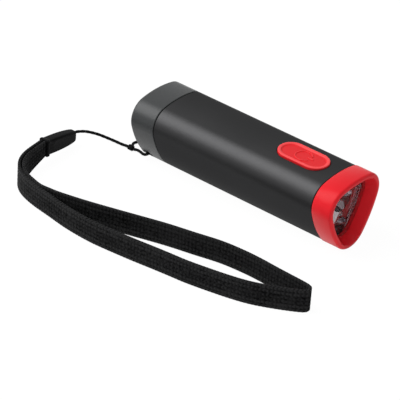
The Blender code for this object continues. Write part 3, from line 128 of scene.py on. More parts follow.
class Nodes:
    """A node tree, for a surface or for a shape, with one way to add a node."""

    def __init__(self, tree):
        self.tree = tree

    def plug(self, node, name, value):
        """Joins a wire to a node's input, or sets the input to a plain value."""
        slot = node.inputs[name]
        if isinstance(value, Wire):
            self.tree.links.new(value.socket, slot)
        else:
            slot.default_value = value

    def node(self, kind, settings=None, sockets=None, output=0):
        """Adds a node, fills in its settings and inputs, and gives back one of its outputs."""
        made = self.tree.nodes.new(kind)
        for name, value in (settings or {}).items():
            setattr(made, name, value)
        for name, value in (sockets or {}).items():
            self.plug(made, name, value)
        return Wire(self, made.outputs[output])

    def axis(self, place, index):
        """One number of a place: 0 for X, 1 for Y and 2 for Z."""
        return self.node("ShaderNodeSeparateXYZ", {}, {0: place}, output=index)

    def blend(self, first, second, share):
        """Mixes two colours by a share."""
        sockets = {0: share, 6: first, 7: second}
        return self.node("ShaderNodeMix", {"data_type": "RGBA"}, sockets, output=2)


class Surface(Nodes):
    """A Principled material under construction."""

    def __init__(self, name, roughness=0.5, metallic=0.0):
        self.material = bpy.data.materials.new(name)
        self.material.use_nodes = True
        super().__init__(self.material.node_tree)
        self.shader = self.tree.nodes["Principled BSDF"]
        self.place = self.node("ShaderNodeTexCoord", output=3)
        self.set(Roughness=roughness, Metallic=metallic)

    def set(self, **values):
        """Fills in the shader's own inputs, named with low lines for spaces."""
        for name, value in values.items():
            self.plug(self.shader, name.replace("_", " "), value)

    def tones(self, deep, pale, share, **others):
        """Mixes two tones by a share, and fills in the inputs that go with them."""
        self.set(Base_Color=self.blend((*deep, 1), (*pale, 1), share), **others)

    def noise(self, scale, detail=3.0, stretch=(1, 1, 1)):
        spread = self.node("ShaderNodeMapping", {}, {0: self.place, 3: stretch})
        sockets = {"Vector": spread, "Scale": scale, "Detail": detail}
        return self.node("ShaderNodeTexNoise", {}, sockets)

    def stored(self, name):
        """A value that a recipe kept on the piece."""
        return self.node("ShaderNodeAttribute", {"attribute_name": name}, output=2)

    def bump(self, height, depth):
        sockets = {"Height": height, "Distance": depth, "Strength": 1.0}
        self.set(Normal=self.node("ShaderNodeBump", {}, sockets))


PAPER = (0.93, 0.93, 0.93, 1)
ROOM_LIGHT = 0.20
GLOW_STRENGTH = 1.02
WHITE_SHARE = 0.95
TABLE_HALF = 4.0
TABLE_DROP = 0.0001
room = bpy.data.worlds.new("room")
room.use_nodes = True
scene.world = room
air = Nodes(room.node_tree)
sky = room.node_tree.nodes["Background"]


def white_rays(nodes):
    """1 for a ray that comes from the camera, a mirror or a glass, and 0 for any other."""
    path = nodes.node("ShaderNodeLightPath")
    return (path + path["Is Glossy Ray"] + path["Is Transmission Ray"]).clamped()


air.plug(sky, "Color", (1, 1, 1, 1))
air.plug(sky, "Strength", white_rays(air) * (1 - ROOM_LIGHT) + ROOM_LIGHT)

table = bpy.data.meshes.new("table")
rim = [(x * TABLE_HALF, y * TABLE_HALF, 0) for x, y in ((-1, -1), (1, -1), (1, 1), (-1, 1))]
table.from_pydata(rim, [], [(0, 1, 2, 3)])
table_top = in_scene("table_top", table)
table_top.location.z = -TABLE_DROP
paper = Surface("paper", roughness=0.9)
paper.set(Base_Color=PAPER)
table.materials.append(paper.material)
glow = paper.node("ShaderNodeEmission", {}, {"Color": (1, 1, 1, 1), "Strength": GLOW_STRENGTH})
lit = Wire(paper, paper.shader.outputs[0])
mixed = paper.node("ShaderNodeMixShader", {}, {0: white_rays(paper) * WHITE_SHARE, 1: lit, 2: glow})
paper.plug(paper.tree.nodes["Material Output"], "Surface", mixed)


def lamp(name, direction, distance, width, height, power):
    """A soft rectangular light that faces the torch."""
    data = bpy.data.lights.new(name, "AREA")
    data.shape = "RECTANGLE"
    data.size, data.size_y = width, height
    data.energy = power
    made = in_scene(name, data)
    way = Vector(direction).normalized()
    made.location = way * distance
    made.rotation_euler = way.to_track_quat("Z", "Y").to_euler()


lamp("ridge_light", (-0.51, -0.38, 0.77), distance=1.05, width=0.75, height=1.1, power=14.5)
lamp("overhead_light", (0.45, 0.10, 0.88), distance=1.3, width=0.6, height=0.6, power=1.5)
lamp("front_light", (0.90, -0.60, 0.30), distance=1.4, width=0.6, height=0.6, power=3.5)


# Barrel
# A black tube of rounded triangular section, drawn and then anodised to a satin finish. It has
# a slot for the button and, on its far face, the low boss that the crank turns in.
TOP_HALF_SPAN = 0.00803
CORNER_RADIUS = 0.00913
KEEL_DROP = 0.01254
KEEL_RADIUS = 0.01045
SIDE_RADIUS = 0.050
CORNER_STEPS = 20
SIDE_STEPS = 10
WALL = 0.0017
CLEARANCE = 0.0003
SEAM_ROUND = 0.0004
CAP_LENGTH = 0.0130
BEZEL_LENGTH = 0.0100
TOP_CENTRE = Vector((TOP_HALF_SPAN, -CORNER_RADIUS))
KEEL_CENTRE = Vector((0.0, -CORNER_RADIUS - KEEL_DROP))
QUARTER_TURN = math.pi / 2
CIRCLE = 2 * math.pi
WELD = 0.000002


def side_centre(here, here_radius, there, there_radius):
    """Centre of the large circle that touches two corner circles from outside the pair."""
    here_reach = SIDE_RADIUS - here_radius
    there_reach = SIDE_RADIUS - there_radius
    span = (there - here).length
    along = (span * span + here_reach**2 - there_reach**2) / (2 * span)
    direction = (there - here).normalized()
    beside = Vector((-direction.y, direction.x))
    return here + direction * along + beside * math.sqrt(here_reach**2 - along**2)


CORNERS = [
    (TOP_CENTRE, CORNER_RADIUS),
    (Vector((-TOP_CENTRE.x, TOP_CENTRE.y)), CORNER_RADIUS),
    (KEEL_CENTRE, KEEL_RADIUS),
]
SIDES = [side_centre(*CORNERS[i], *CORNERS[(i + 1) % 3]) for i in range(3)]
TOP_CROWN = SIDES[0].y + SIDE_RADIUS


def heading(start, end):
    """The direction from one point to another, as an angle."""
    return math.atan2(end.y - start.y, end.x - start.x)


def arc(centre, radius, start, end, steps):
    """Points of an arc that turns anticlockwise from one heading to the other."""
    sweep = (end - start) % CIRCLE
    angles = [start + sweep * i / steps for i in range(steps + 1)]
    return [centre + radius * Vector((math.cos(a), math.sin(a))) for a in angles]


def section(inset=0.0):
    """The barrel's outline in Y and Z, drawn in by inset, anticlockwise seen from the bezel."""
    points = []
    for i, (centre, radius) in enumerate(CORNERS):
        before, after = SIDES[i - 1], SIDES[i]
        following = CORNERS[(i + 1) % 3][0]
        start, end = heading(before, centre), heading(after, centre)
        points += arc(centre, radius - inset, start, end, CORNER_STEPS)
        side = arc(after, SIDE_RADIUS - inset, end, heading(after, following), SIDE_STEPS)
        points += side[1:-1]
    return points


def mesh_of(name, shape, place=HOME, crease=35):
    """Turns a bmesh into a mesh in its place, smooth but for its sharp edges."""
    bmesh.ops.recalc_face_normals(shape, faces=shape.faces)
    mesh = bpy.data.meshes.new(name)
    shape.to_mesh(mesh)
    shape.free()
    mesh.transform(place)
    mesh.shade_smooth()
    mesh.set_sharp_from_angle(angle=math.radians(crease))
    return mesh


def bands(rings, closed):
    """Bands of faces between rings of equal count: closed like a tyre, or capped at two ends."""
    shape = bmesh.new()
    loops = [[shape.verts.new(point) for point in ring] for ring in rings]
    following = loops[1:]
    if closed:
        following.append(loops[0])
    else:
        shape.faces.new(loops[0])
        shape.faces.new(loops[-1])
    for here, there in zip(loops, following):
        for i in range(len(here)):
            shape.faces.new((here[i - 1], here[i], there[i], there[i - 1]))
    return shape


def skin(name, rings, closed=False, place=HOME):
    """A loft through rings of points."""
    return mesh_of(name, bands(rings, closed), place)


def loft(name, stations, closed=False):
    """A piece of the barrel's section: each station is a place along X and an inset."""
    rings = [[(x, p.x, p.y) for p in section(inset)] for x, inset in stations]
    return skin(name, rings, closed)


def rod(name, radius, bottom, top, place=HOME, segments=48):
    """A cylinder along its own Z, from bottom to top."""
    shape = bmesh.new()
    size = {"radius1": radius, "radius2": radius, "depth": top - bottom}
    bmesh.ops.create_cone(shape, cap_ends=True, segments=segments, **size)
    bmesh.ops.translate(shape, vec=(0, 0, (top + bottom) / 2), verts=shape.verts)
    return mesh_of(name, shape, place)


def lathe(name, profile, place, segments=64, crease=35):
    """A turned piece: its profile, as radius and height, is swept about its own Z."""
    rings = []
    for radius, height in profile:
        turns = [CIRCLE * i / segments for i in range(segments)]
        rings.append([(radius * math.cos(a), radius * math.sin(a), height) for a in turns])
    shape = bands(rings, closed=True)
    bmesh.ops.remove_doubles(shape, verts=shape.verts, dist=WELD)
    bmesh.ops.dissolve_degenerate(shape, edges=shape.edges, dist=0.000001)
    stray = [edge for edge in shape.edges if not edge.link_faces]
    bmesh.ops.delete(shape, geom=stray, context="EDGES")
    return mesh_of(name, shape, place, crease)


def outcome(made, *helpers):
    """The mesh that an object's modifiers give. The object and its helpers are taken away."""
    bpy.context.view_layer.update()
    graph = bpy.context.evaluated_depsgraph_get()
    mesh = bpy.data.meshes.new_from_object(made.evaluated_get(graph))
    made.modifiers.clear()
    for used in (made, *helpers):
        bpy.data.objects.remove(used)
    return mesh


def even(mesh):
    """Evens the shading where flat faces meet rounded edges."""
    made = in_scene(mesh.name, mesh)
    weighted = made.modifiers.new("even", "WEIGHTED_NORMAL")
    weighted.keep_sharp = True
    return outcome(made)


def carve(mesh, *steps, edge=0.0, crease=35):
    """Cuts, joins or limits a mesh by others in turn, then rounds its edges."""
    made = in_scene(mesh.name, mesh)
    helpers = []
    for operation, other in steps:
        helpers.append(in_scene(other.name, other))
        step = made.modifiers.new(operation, "BOOLEAN")
        step.operation = operation
        step.object = helpers[-1]
    if edge:
        rounding = made.modifiers.new("edge", "BEVEL")
        rounding.width = edge
        rounding.segments = 2
        rounding.limit_method = "ANGLE"
        rounding.angle_limit = math.radians(50)
    solid = outcome(made, *helpers)
    solid.name = mesh.name
    shape = bmesh.new()
    shape.from_mesh(solid)
    bmesh.ops.remove_doubles(shape, verts=shape.verts, dist=WELD)
    shape.to_mesh(solid)
    shape.free()
    solid.shade_smooth()
    solid.set_sharp_from_angle(angle=math.radians(crease))
    return even(solid)


def piece(name, mesh, surface, body="torch", stands_for=()):
    """A finished piece in its place. It rides on a body and takes the place of CAD nodes."""
    made = in_scene(name, mesh)
    mesh.materials.clear()
    mesh.materials.append(surface.material)
    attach(made, body)
    if stands_for:
        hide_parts(*stands_for)
    return made


def flat(name, outline, bottom, top, place=HOME):
    """A flat outline with a thickness."""
    rings = [[(p.x, p.y, height) for p in outline] for height in (bottom, top)]
    return skin(name, rings, place=place)


def pill(half_length, half_width, steps=24):
    """A slot outline: two half circles joined by straight sides."""
    centre = Vector((half_length - half_width, 0))
    right = arc(centre, half_width, -QUARTER_TURN, QUARTER_TURN, steps)
    return right + [-point for point in right]


BUTTON_X = 0.0816
BUTTON_HALF_LENGTH = 0.0125
BUTTON_HALF_WIDTH = 0.0065
FAR_SIDE = SIDES[2]
TO_TOP = (TOP_CENTRE - FAR_SIDE).normalized()
TO_KEEL = (KEEL_CENTRE - FAR_SIDE).normalized()
FAR_NORMAL = (TO_TOP + TO_KEEL).normalized()
FAR_POINT = FAR_SIDE + FAR_NORMAL * SIDE_RADIUS
FAR_TILT = Matrix.Rotation(math.atan2(-FAR_NORMAL.x, FAR_NORMAL.y), 4, "X")
FAR_FACE = HOME @ Matrix.Translation((0, FAR_POINT.x, FAR_POINT.y)) @ FAR_TILT
CRANK_X = 0.0305
CRANK_PLACE = FAR_FACE @ Matrix.Translation((CRANK_X, 0, 0))
BOSS_RADIUS = 0.0086
BOSS_PROUD = 0.0008
SHAFT_HOLE = 0.0027
SLOT_CUT = 0.006
BORE_START = -0.004
BORE_END = 0.003
BARREL_EDGE = 0.00015
BODY_START = CAP_LENGTH + CLEARANCE
BODY_END = LENGTH - BEZEL_LENGTH - CLEARANCE

anodised = Surface("satin_black_anodising", roughness=0.40)
grain = anodised.noise(2600, detail=2, stretch=(0.25, 1, 1))
cloud = anodised.noise(38, detail=4)
anodised.tones(
    (0.034, 0.034, 0.035),
    (0.042, 0.042, 0.043),
    cloud,
    Roughness=grain * 0.10 + cloud * 0.06 + 0.375,
    Metallic=1.0,
    Specular_Tint=(0.5, 0.5, 0.5, 1),
)
anodised.bump(grain, 0.000012)

barrel_stations = [
    (BODY_START, SEAM_ROUND),
    (BODY_START + SEAM_ROUND / 3, SEAM_ROUND / 3),
    (BODY_START + SEAM_ROUND, 0),
    (BODY_END - SEAM_ROUND, 0),
    (BODY_END - SEAM_ROUND / 3, SEAM_ROUND / 3),
    (BODY_END, SEAM_ROUND),
    (BODY_END, WALL),
    (BODY_START, WALL),
]
slot_outline = pill(BUTTON_HALF_LENGTH + CLEARANCE, BUTTON_HALF_WIDTH + CLEARANCE)
at_button = HOME @ Matrix.Translation((BUTTON_X, 0, 0))
boss_root = -WALL - CLEARANCE
barrel = carve(
    loft("barrel", barrel_stations, closed=True),
    ("DIFFERENCE", flat("button_slot", slot_outline, -SLOT_CUT, SLOT_CUT, at_button)),
    ("UNION", rod("crank_boss", BOSS_RADIUS, boss_root, BOSS_PROUD, CRANK_PLACE, segments=64)),
    ("DIFFERENCE", rod("crank_bore", SHAFT_HOLE, BORE_START, BORE_END, CRANK_PLACE)),
    edge=BARREL_EDGE,
)
piece("barrel", barrel, anodised, stands_for=["main_body"])


# Tail cap
# A moulded cap in dark grey with a fine spark finish. Its spigot enters the barrel, two screws
# hold it from behind, and the lanyard's loop runs through the cross hole in its keel.
CAP_END_ROUND = 0.0012
CAP_WALL = 0.0024
CAVITY_END = 0.0106
CAVITY_CHAMFER = 0.0004
SPIGOT_END = 0.0180
SPIGOT_INSET = 0.0020
SPIGOT_BORE = 0.0043
SEAL_START = 0.0146
SEAL_END = 0.0162
SEAL_FLOOR = 0.0030
CAP_EDGE = 0.00012
cap_plastic = Surface("dark_grey_moulding", roughness=0.42)
spark = cap_plastic.noise(2100, detail=3)
drift = cap_plastic.noise(30, detail=3)
cap_plastic.tones(
    (0.026, 0.028, 0.029),
    (0.038, 0.040, 0.041),
    drift,
    Roughness=spark * 0.12 + 0.29,
    Specular_IOR_Level=0.24,
)
cap_plastic.bump(spark, 0.000025)


def quarter_round(steps):
    """The points of a round edge of unit radius: how far each is from the start and the end."""
    turns = [QUARTER_TURN * i / steps for i in range(steps + 1)]
    return [(1 - math.cos(a), 1 - math.sin(a)) for a in turns]


rounded_end = [(CAP_END_ROUND * along, CAP_END_ROUND * inset) for along, inset in quarter_round(10)]
cap_stations = [
    (CAP_WALL, CAP_WALL),
    (CAVITY_END, CAP_WALL),
    (CAVITY_END + CAVITY_CHAMFER, SPIGOT_BORE),
    (SPIGOT_END, SPIGOT_BORE),
    (SPIGOT_END, SPIGOT_INSET),
    (SEAL_END, SPIGOT_INSET),
    (SEAL_END, SEAL_FLOOR),
    (SEAL_START, SEAL_FLOOR),
    (SEAL_START, SPIGOT_INSET),
    (CAP_LENGTH, SPIGOT_INSET),
    (CAP_LENGTH, SEAM_ROUND),
    (CAP_LENGTH - SEAM_ROUND / 3, SEAM_ROUND / 3),
    (CAP_LENGTH - SEAM_ROUND, 0),
    *reversed(rounded_end),
]
TO_X = Matrix.Rotation(QUARTER_TURN, 4, "Y")
TO_Y = Matrix.Rotation(-QUARTER_TURN, 4, "X")
PAST = 0.1


def block(name, low, high, place=HOME):
    """A box between two corners."""
    shape = bmesh.new()
    bmesh.ops.create_cube(shape, size=1)
    for vertex in shape.verts:
        vertex.co = [low[i] if vertex.co[i] < 0 else high[i] for i in range(3)]
    return mesh_of(name, shape, place)


BLOCK_INSET = 0.00085
BLOCK_END = 0.0090
BLOCK_TOP = -0.0244
LANYARD_HOLE = 0.0019
LANYARD_HOLE_X = 0.0046
LANYARD_HOLE_Z = -0.0282
CAP_SCREW_SPAN = 0.0075
CAP_SCREW_DROP = 0.0085
CAP_SCREW_HOLE = 0.0011
COUNTERBORE = 0.0021
COUNTERBORE_DEPTH = 0.0013
CUT_SPARE = 0.001
CUT_DEPTH = 0.03
lanyard_block = carve(
    loft("lanyard_block", [(BLOCK_INSET, BLOCK_INSET), (BLOCK_END, BLOCK_INSET)]),
    ("INTERSECT", block("block_limit", (-PAST, -PAST, -PAST), (PAST, PAST, BLOCK_TOP))),
)
hole_place = HOME @ Matrix.Translation((LANYARD_HOLE_X, 0, LANYARD_HOLE_Z)) @ TO_Y
lanyard_hole = rod("lanyard_hole", LANYARD_HOLE, -PAST, PAST, hole_place)
cap_steps = [("UNION", lanyard_block), ("DIFFERENCE", lanyard_hole)]
for y in (-CAP_SCREW_SPAN, CAP_SCREW_SPAN):
    screw_place = HOME @ Matrix.Translation((0, y, -CAP_SCREW_DROP)) @ TO_X
    counterbore = rod("counterbore", COUNTERBORE, -CUT_SPARE, COUNTERBORE_DEPTH, screw_place)
    screw_hole = rod("screw_hole", CAP_SCREW_HOLE, -CUT_SPARE, CUT_DEPTH, screw_place)
    cap_steps += [("DIFFERENCE", counterbore), ("DIFFERENCE", screw_hole)]
tail = carve(loft("tail_shell", cap_stations), *cap_steps, edge=CAP_EDGE)
piece("tail_shell", tail, cap_plastic, stands_for=["tail_cap"])


# Bezel
# A ring in glossy red plastic, rounded at its rim. Its mouth narrows towards the lens, and a
# tongue behind it slides into the barrel.
BEZEL_START = LENGTH - BEZEL_LENGTH
BEZEL_PROUD = 0.0003
BEZEL_ROUND = 0.0012
MOUTH_DEPTH = 0.0049
MOUTH_INSET = 0.0020
MOUTH_EDGE = 0.0006
RIM_INSET = 0.0016
LIP_INSET = 0.0038
LIP_THICKNESS = 0.0004
SEAT_INSET = 0.0029
TONGUE_START = 0.0950
TONGUE_INSET = 0.0020
red_plastic = Surface("red_moulding", roughness=0.34)
tone = red_plastic.noise(45, detail=3)
skin_grain = red_plastic.noise(1800, detail=2)
red_plastic.tones(
    (0.64, 0.012, 0.019),
    (0.70, 0.017, 0.025),
    tone,
    Roughness=skin_grain * 0.08 + 0.30,
    Specular_IOR_Level=0.09,
)
red_plastic.bump(skin_grain, 0.000010)

rim_outer = [
    (LENGTH - BEZEL_ROUND * left, BEZEL_ROUND * inset - BEZEL_PROUD)
    for inset, left in quarter_round(10)
]
LIP_BACK = LENGTH - MOUTH_DEPTH
bezel_stations = [
    (BEZEL_START, SEAM_ROUND - BEZEL_PROUD),
    (BEZEL_START + SEAM_ROUND / 3, SEAM_ROUND / 3 - BEZEL_PROUD),
    (BEZEL_START + SEAM_ROUND, -BEZEL_PROUD),
    *rim_outer,
    (LENGTH, RIM_INSET),
    (LENGTH - MOUTH_EDGE / 4, (RIM_INSET + MOUTH_INSET) / 2),
    (LENGTH - MOUTH_EDGE, MOUTH_INSET),
    (LIP_BACK + LIP_THICKNESS, LIP_INSET),
    (LIP_BACK, LIP_INSET),
    (LIP_BACK, SEAT_INSET),
    (TONGUE_START, SEAT_INSET),
    (TONGUE_START, TONGUE_INSET),
    (BEZEL_START, TONGUE_INSET),
]
bezel = loft("bezel_ring", bezel_stations, closed=True)
piece("bezel_ring", bezel, red_plastic, stands_for=["bezel"])


# Lens
# A clear acrylic plate, cut to the barrel's section and polished on both faces. It seats behind
# the bezel's lip, and its front edge is broken.
acrylic = Surface("clear_acrylic", roughness=0.02)
polish = acrylic.noise(300, detail=2)
acrylic.set(Base_Color=(0.08, 0.08, 0.08, 1), Alpha=0.07, IOR=1.49, Roughness=polish * 0.03)
OPTIC_INSET = 0.0032
LENS_THICKNESS = 0.0012
LENS_EDGE = 0.00015
LENS_FRONT = LIP_BACK - CLEARANCE
LENS_BACK = LENS_FRONT - LENS_THICKNESS
lens_stations = [
    (LENS_BACK, OPTIC_INSET),
    (LENS_FRONT - LENS_EDGE, OPTIC_INSET),
    (LENS_FRONT, OPTIC_INSET + LENS_EDGE),
]
lens_plate = loft("lens_plate", lens_stations)
piece("lens_plate", lens_plate, acrylic, stands_for=["lens"])


# Reflector
# One bright moulding: a flange with a large dish for the main lamp and a small dish for the
# keel lamp. A screw between them holds it to the light board, and fine ribs run down both of its
# borders.
FLANGE_FRONT = LENS_BACK - CLEARANCE
FLANGE_THICKNESS = 0.0012
FLANGE_BACK = FLANGE_FRONT - FLANGE_THICKNESS
CUP_WALL = 0.0008
CUP_DEPTH = 0.0063
CUP_BACK = FLANGE_FRONT - CUP_DEPTH
CUP_STEPS = 12
DISHES = {"main": (0.0103, 0.0064, 0.0028), "keel": (0.0242, 0.0042, 0.0018)}
SCREW_DROP = 0.0184
SCREW_BOSS = 0.0016
SCREW_SEAT = 0.0013
SCREW_HOLE = 0.0009
SCREW_START = 0.07
SEAT_RISE = 0.00002
OPTIC_START = 0.09

mirror = Surface("bright_metallising", roughness=0.06, metallic=1.0)
orange_peel = mirror.noise(420, detail=2)
mirror_cloud = mirror.noise(110, detail=3)
mirror.tones(
    (0.38, 0.33, 0.35),
    (0.45, 0.40, 0.42),
    mirror_cloud,
    Roughness=orange_peel * 0.05 + 0.03,
)
mirror.bump(orange_peel, 0.000012)


def dish(throat, mouth, wall, spare):
    """The profile of a parabolic cup from its mouth down to its throat."""
    bowl = []
    for i in range(CUP_STEPS + 1):
        share = 1 - i / CUP_STEPS
        radius = throat + (mouth - throat) * math.sqrt(share) + wall
        bowl.append((radius, CUP_BACK + CUP_DEPTH * share))
    top = [(0, FLANGE_FRONT + spare), (bowl[0][0], FLANGE_FRONT + spare)]
    tail = [(bowl[-1][0], CUP_BACK - spare), (0, CUP_BACK - spare)]
    return top + (bowl if spare else bowl[1:-1]) + tail


limit = loft("reflector_limit", [(OPTIC_START, OPTIC_INSET), (LENGTH, OPTIC_INSET)])
screw_axis = HOME @ Matrix.Translation((0, 0, -SCREW_DROP)) @ TO_X
shells, bowls = [], []
for name, (drop, mouth, throat) in DISHES.items():
    axis = HOME @ Matrix.Translation((0, 0, -drop)) @ TO_X
    shells.append(("UNION", lathe(f"{name}_shell", dish(throat, mouth, CUP_WALL, 0), axis)))
    bowls.append(("DIFFERENCE", lathe(f"{name}_bowl", dish(throat, mouth, 0, CLEARANCE), axis)))
reflector = carve(
    loft("reflector_moulding", [(FLANGE_BACK, OPTIC_INSET), (FLANGE_FRONT, OPTIC_INSET)]),
    *shells,
    ("UNION", rod("screw_boss", SCREW_BOSS, CUP_BACK, FLANGE_FRONT - CLEARANCE, screw_axis)),
    ("INTERSECT", limit),
    *bowls,
    ("DIFFERENCE", rod("screw_hole", SCREW_HOLE, SCREW_START, LENGTH, screw_axis)),
    ("DIFFERENCE", rod("screw_seat", SCREW_SEAT, FLANGE_BACK + SEAT_RISE, LENGTH, screw_axis)),
    crease=25,
)
piece("reflector_moulding", reflector, mirror, stands_for=["reflector"])


def line_of(name, *runs, place=HOME):
    """A plain curve through each run of points in a place's own axes."""
    curve = bpy.data.curves.new(name, "CURVE")
    curve.dimensions = "3D"
    for points in runs:
        spline = curve.splines.new("POLY")
        spline.points.add(len(points) - 1)
        for spot, point in zip(spline.points, points):
            spot.co = (*(place @ Vector(point)), 1)
    return curve


class Recipe(Nodes):
    """A Geometry Nodes tree under construction, with a named input for each size."""

    def __init__(self, name):
        super().__init__(bpy.data.node_groups.new(name, "GeometryNodeTree"))
        for way in ("INPUT", "OUTPUT"):
            self.tree.interface.new_socket("Shape", in_out=way, socket_type="NodeSocketGeometry")
        self.source = self.tree.nodes.new("NodeGroupInput")
        self.given = Wire(self, self.source.outputs[0])
        self.settings = {}

    def size(self, name, value, kind="NodeSocketFloat"):
        """Adds a named input with its value."""
        made = self.tree.interface.new_socket(name, in_out="INPUT", socket_type=kind)
        self.settings[made.identifier] = value
        return Wire(self, self.source.outputs[name])

    def keep(self, shape, name, value):
        """Stores a value under a name on the points of a shape."""
        settings = {"data_type": "FLOAT", "domain": "POINT"}
        sockets = {0: shape, "Name": name, "Value": value}
        return self.node("GeometryNodeStoreNamedAttribute", settings, sockets)

    def kept(self, name):
        """Reads a stored value."""
        return self.node("GeometryNodeInputNamedAttribute", {"data_type": "FLOAT"}, {0: name})

    def divide(self, curve, step):
        """Puts a point on a curve at every step."""
        sockets = {"Curve": curve, "Length": step}
        return self.node("GeometryNodeResampleCurve", {"mode": "LENGTH"}, sockets)

    def sweep(self, spine, outline):
        """Draws an outline along a spine, closed at both ends, and keeps the way along it."""
        spine = self.keep(spine, "along", self.node("GeometryNodeSplineParameter", output=1))
        sockets = {"Curve": spine, "Profile Curve": outline, "Fill Caps": True}
        return self.node("GeometryNodeCurveToMesh", {}, sockets)

    def bar(self, radius, length, sides=8):
        """A round bar about Z."""
        sockets = {"Vertices": sides, "Radius": radius, "Depth": length}
        return self.node("GeometryNodeMeshCylinder", {}, sockets)

    def set_out(self, points, item, facing=None):
        """Puts an item on every point, with its Z along a direction."""
        sockets = {"Points": points, "Instance": item}
        if facing:
            towards = {"Vector": facing}
            turn = self.node("FunctionNodeAlignRotationToVector", {"axis": "Z"}, towards)
            sockets["Rotation"] = turn
        return self.node("GeometryNodeInstanceOnPoints", {}, sockets)

    def swell(self, shape, height):
        """Moves a surface outwards by a height."""
        outward = self.node("GeometryNodeInputNormal")
        push = self.node("ShaderNodeVectorMath", {"operation": "SCALE"}, {"Vector": outward, "Scale": height})
        return self.node("GeometryNodeSetPosition", {}, {"Geometry": shape, "Offset": push})

    def make(self, name, start, result, surface, crease=40):
        """Runs the recipe on a curve or a mesh and gives back a plain mesh."""
        real = self.node("GeometryNodeRealizeInstances", {}, {0: result})
        painted = self.node("GeometryNodeSetMaterial", {}, {0: real, 2: surface.material})
        self.plug(self.tree.nodes.new("NodeGroupOutput"), 0, painted)
        maker = in_scene(name, start)
        step = maker.modifiers.new(name, "NODES")
        step.node_group = self.tree
        for key, value in self.settings.items():
            step[key] = value
        mesh = outcome(maker)
        mesh.shade_smooth()
        mesh.set_sharp_from_angle(angle=math.radians(crease))
        return mesh


# The ribs take a lighter, pinker copy of the dishes' metallising, so that they stand out as pale lines: a
# painted highlight.
rib_highlight_metal = Surface("bright_rib_metallising", metallic=1.0)
rib_peel = rib_highlight_metal.noise(900, detail=2)
rib_highlight_metal.tones((0.60, 0.49, 0.52), (0.74, 0.63, 0.66), rib_peel, Roughness=rib_peel * 0.12 + 0.20)
RIB_ROWS = [(0.0009, -15, 8), (0.0025, -8, 5), (0.0041, -6, 2)]
border_runs = []
for inset, first, last in RIB_ROWS:
    outline = section(OPTIC_INSET + inset)
    run = [outline[i] for i in range(first, last)]
    border_runs.append([(FLANGE_FRONT, p.x, p.y) for p in run])
    border_runs.append([(FLANGE_FRONT, -p.x, p.y) for p in run])
border_ribs = Recipe("border_ribs")
rib_pitch = border_ribs.size("Pitch", 0.0007)
rib_length = border_ribs.size("Rib length", 0.0011)
rib_radius = border_ribs.size("Rib radius", 0.00022)
border = border_ribs.divide(border_ribs.given, rib_pitch)
onward = border_ribs.node("GeometryNodeInputTangent")
inward = border_ribs.node("ShaderNodeVectorMath", {"operation": "CROSS_PRODUCT"}, {0: onward, 1: (1, 0, 0)})
ladder = border_ribs.set_out(border, border_ribs.bar(rib_radius, rib_length), inward)
rib_mesh = border_ribs.make("border_ribs", line_of("border", *border_runs), ladder, rib_highlight_metal)
piece("border_ribs", rib_mesh, rib_highlight_metal)


# Lamps
# Two white lamps, one in each dish: a clear resin dome moulded over a yellow phosphor. Both are
# soldered to the board behind the reflector.
resin = Surface("lamp_resin", roughness=0.12)
phosphor = resin.noise(900, detail=2)
resin.tones((0.93, 0.86, 0.42), (0.96, 0.94, 0.72), phosphor, Roughness=phosphor * 0.08 + 0.08)


def finish(surface, *nodes):
    """Gives CAD nodes that keep their shape their real surface."""
    for node in nodes:
        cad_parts[node].data.materials.clear()
        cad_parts[node].data.materials.append(surface.material)


finish(resin, "main_led", "keel_led")


# Push button
# A red moulding with a raised rim round a sunk field. A power sign stands on the field, and a
# flange under the barrel's wall keeps the button in.
BUTTON_PROUD = 0.0007
FIELD_DEPTH = 0.0006
FLANGE_REACH = 0.0071
FLANGE_DEPTH = 0.0009
FLANGE_GROWTH = 0.0006
BUTTON_SHELL = 0.0014
POST_RADIUS = 0.0020
POST_DEPTH = 0.0036
BUTTON_TOP = TOP_CROWN + BUTTON_PROUD
FIELD = BUTTON_TOP - FIELD_DEPTH
UNDER_WALL = SIDES[0].y + math.sqrt((SIDE_RADIUS - WALL) ** 2 - FLANGE_REACH**2) - CLEARANCE
EDGE = 0.0005
RIM_WIDTH = 0.0015
RIM_SHARE = 0.35
# Heights over which the rim's painted highlight fades in, and how strong it gets.
RIM_HIGHLIGHT_START = 0.00012
RIM_HIGHLIGHT_RISE = 0.00035
RIM_HIGHLIGHT_SHARE = 0.8
button_stations = [
    (FIELD - BUTTON_SHELL, -BUTTON_SHELL),
    (UNDER_WALL - FLANGE_DEPTH, -BUTTON_SHELL),
    (UNDER_WALL - FLANGE_DEPTH, FLANGE_GROWTH),
    (UNDER_WALL, FLANGE_GROWTH),
    (UNDER_WALL, 0),
]
EDGE_STEPS = 5
for inset, left in quarter_round(EDGE_STEPS):
    button_stations.append((BUTTON_TOP - EDGE * left, -EDGE * inset))
for i in range(1, EDGE_STEPS + 1):
    fall = i / EDGE_STEPS
    height = BUTTON_TOP - FIELD_DEPTH * (1 - math.cos(math.pi * fall)) / 2
    button_stations.append((height, -EDGE - RIM_WIDTH * (RIM_SHARE + (1 - RIM_SHARE) * fall)))
button_rings = [
    [(p.x, p.y, z) for p in pill(BUTTON_HALF_LENGTH + grow, BUTTON_HALF_WIDTH + grow)]
    for z, grow in button_stations
]
button_shell = skin("button_cap", button_rings, place=at_button)
post = rod("button_post", POST_RADIUS, -POST_DEPTH, FIELD - CUT_SPARE, at_button)
button_red = Surface("red_button_moulding", roughness=0.38)
button_tone = button_red.noise(60, detail=3)
button_grain = button_red.noise(2400, detail=2)
button_height = button_red.axis(button_red.place, 2)
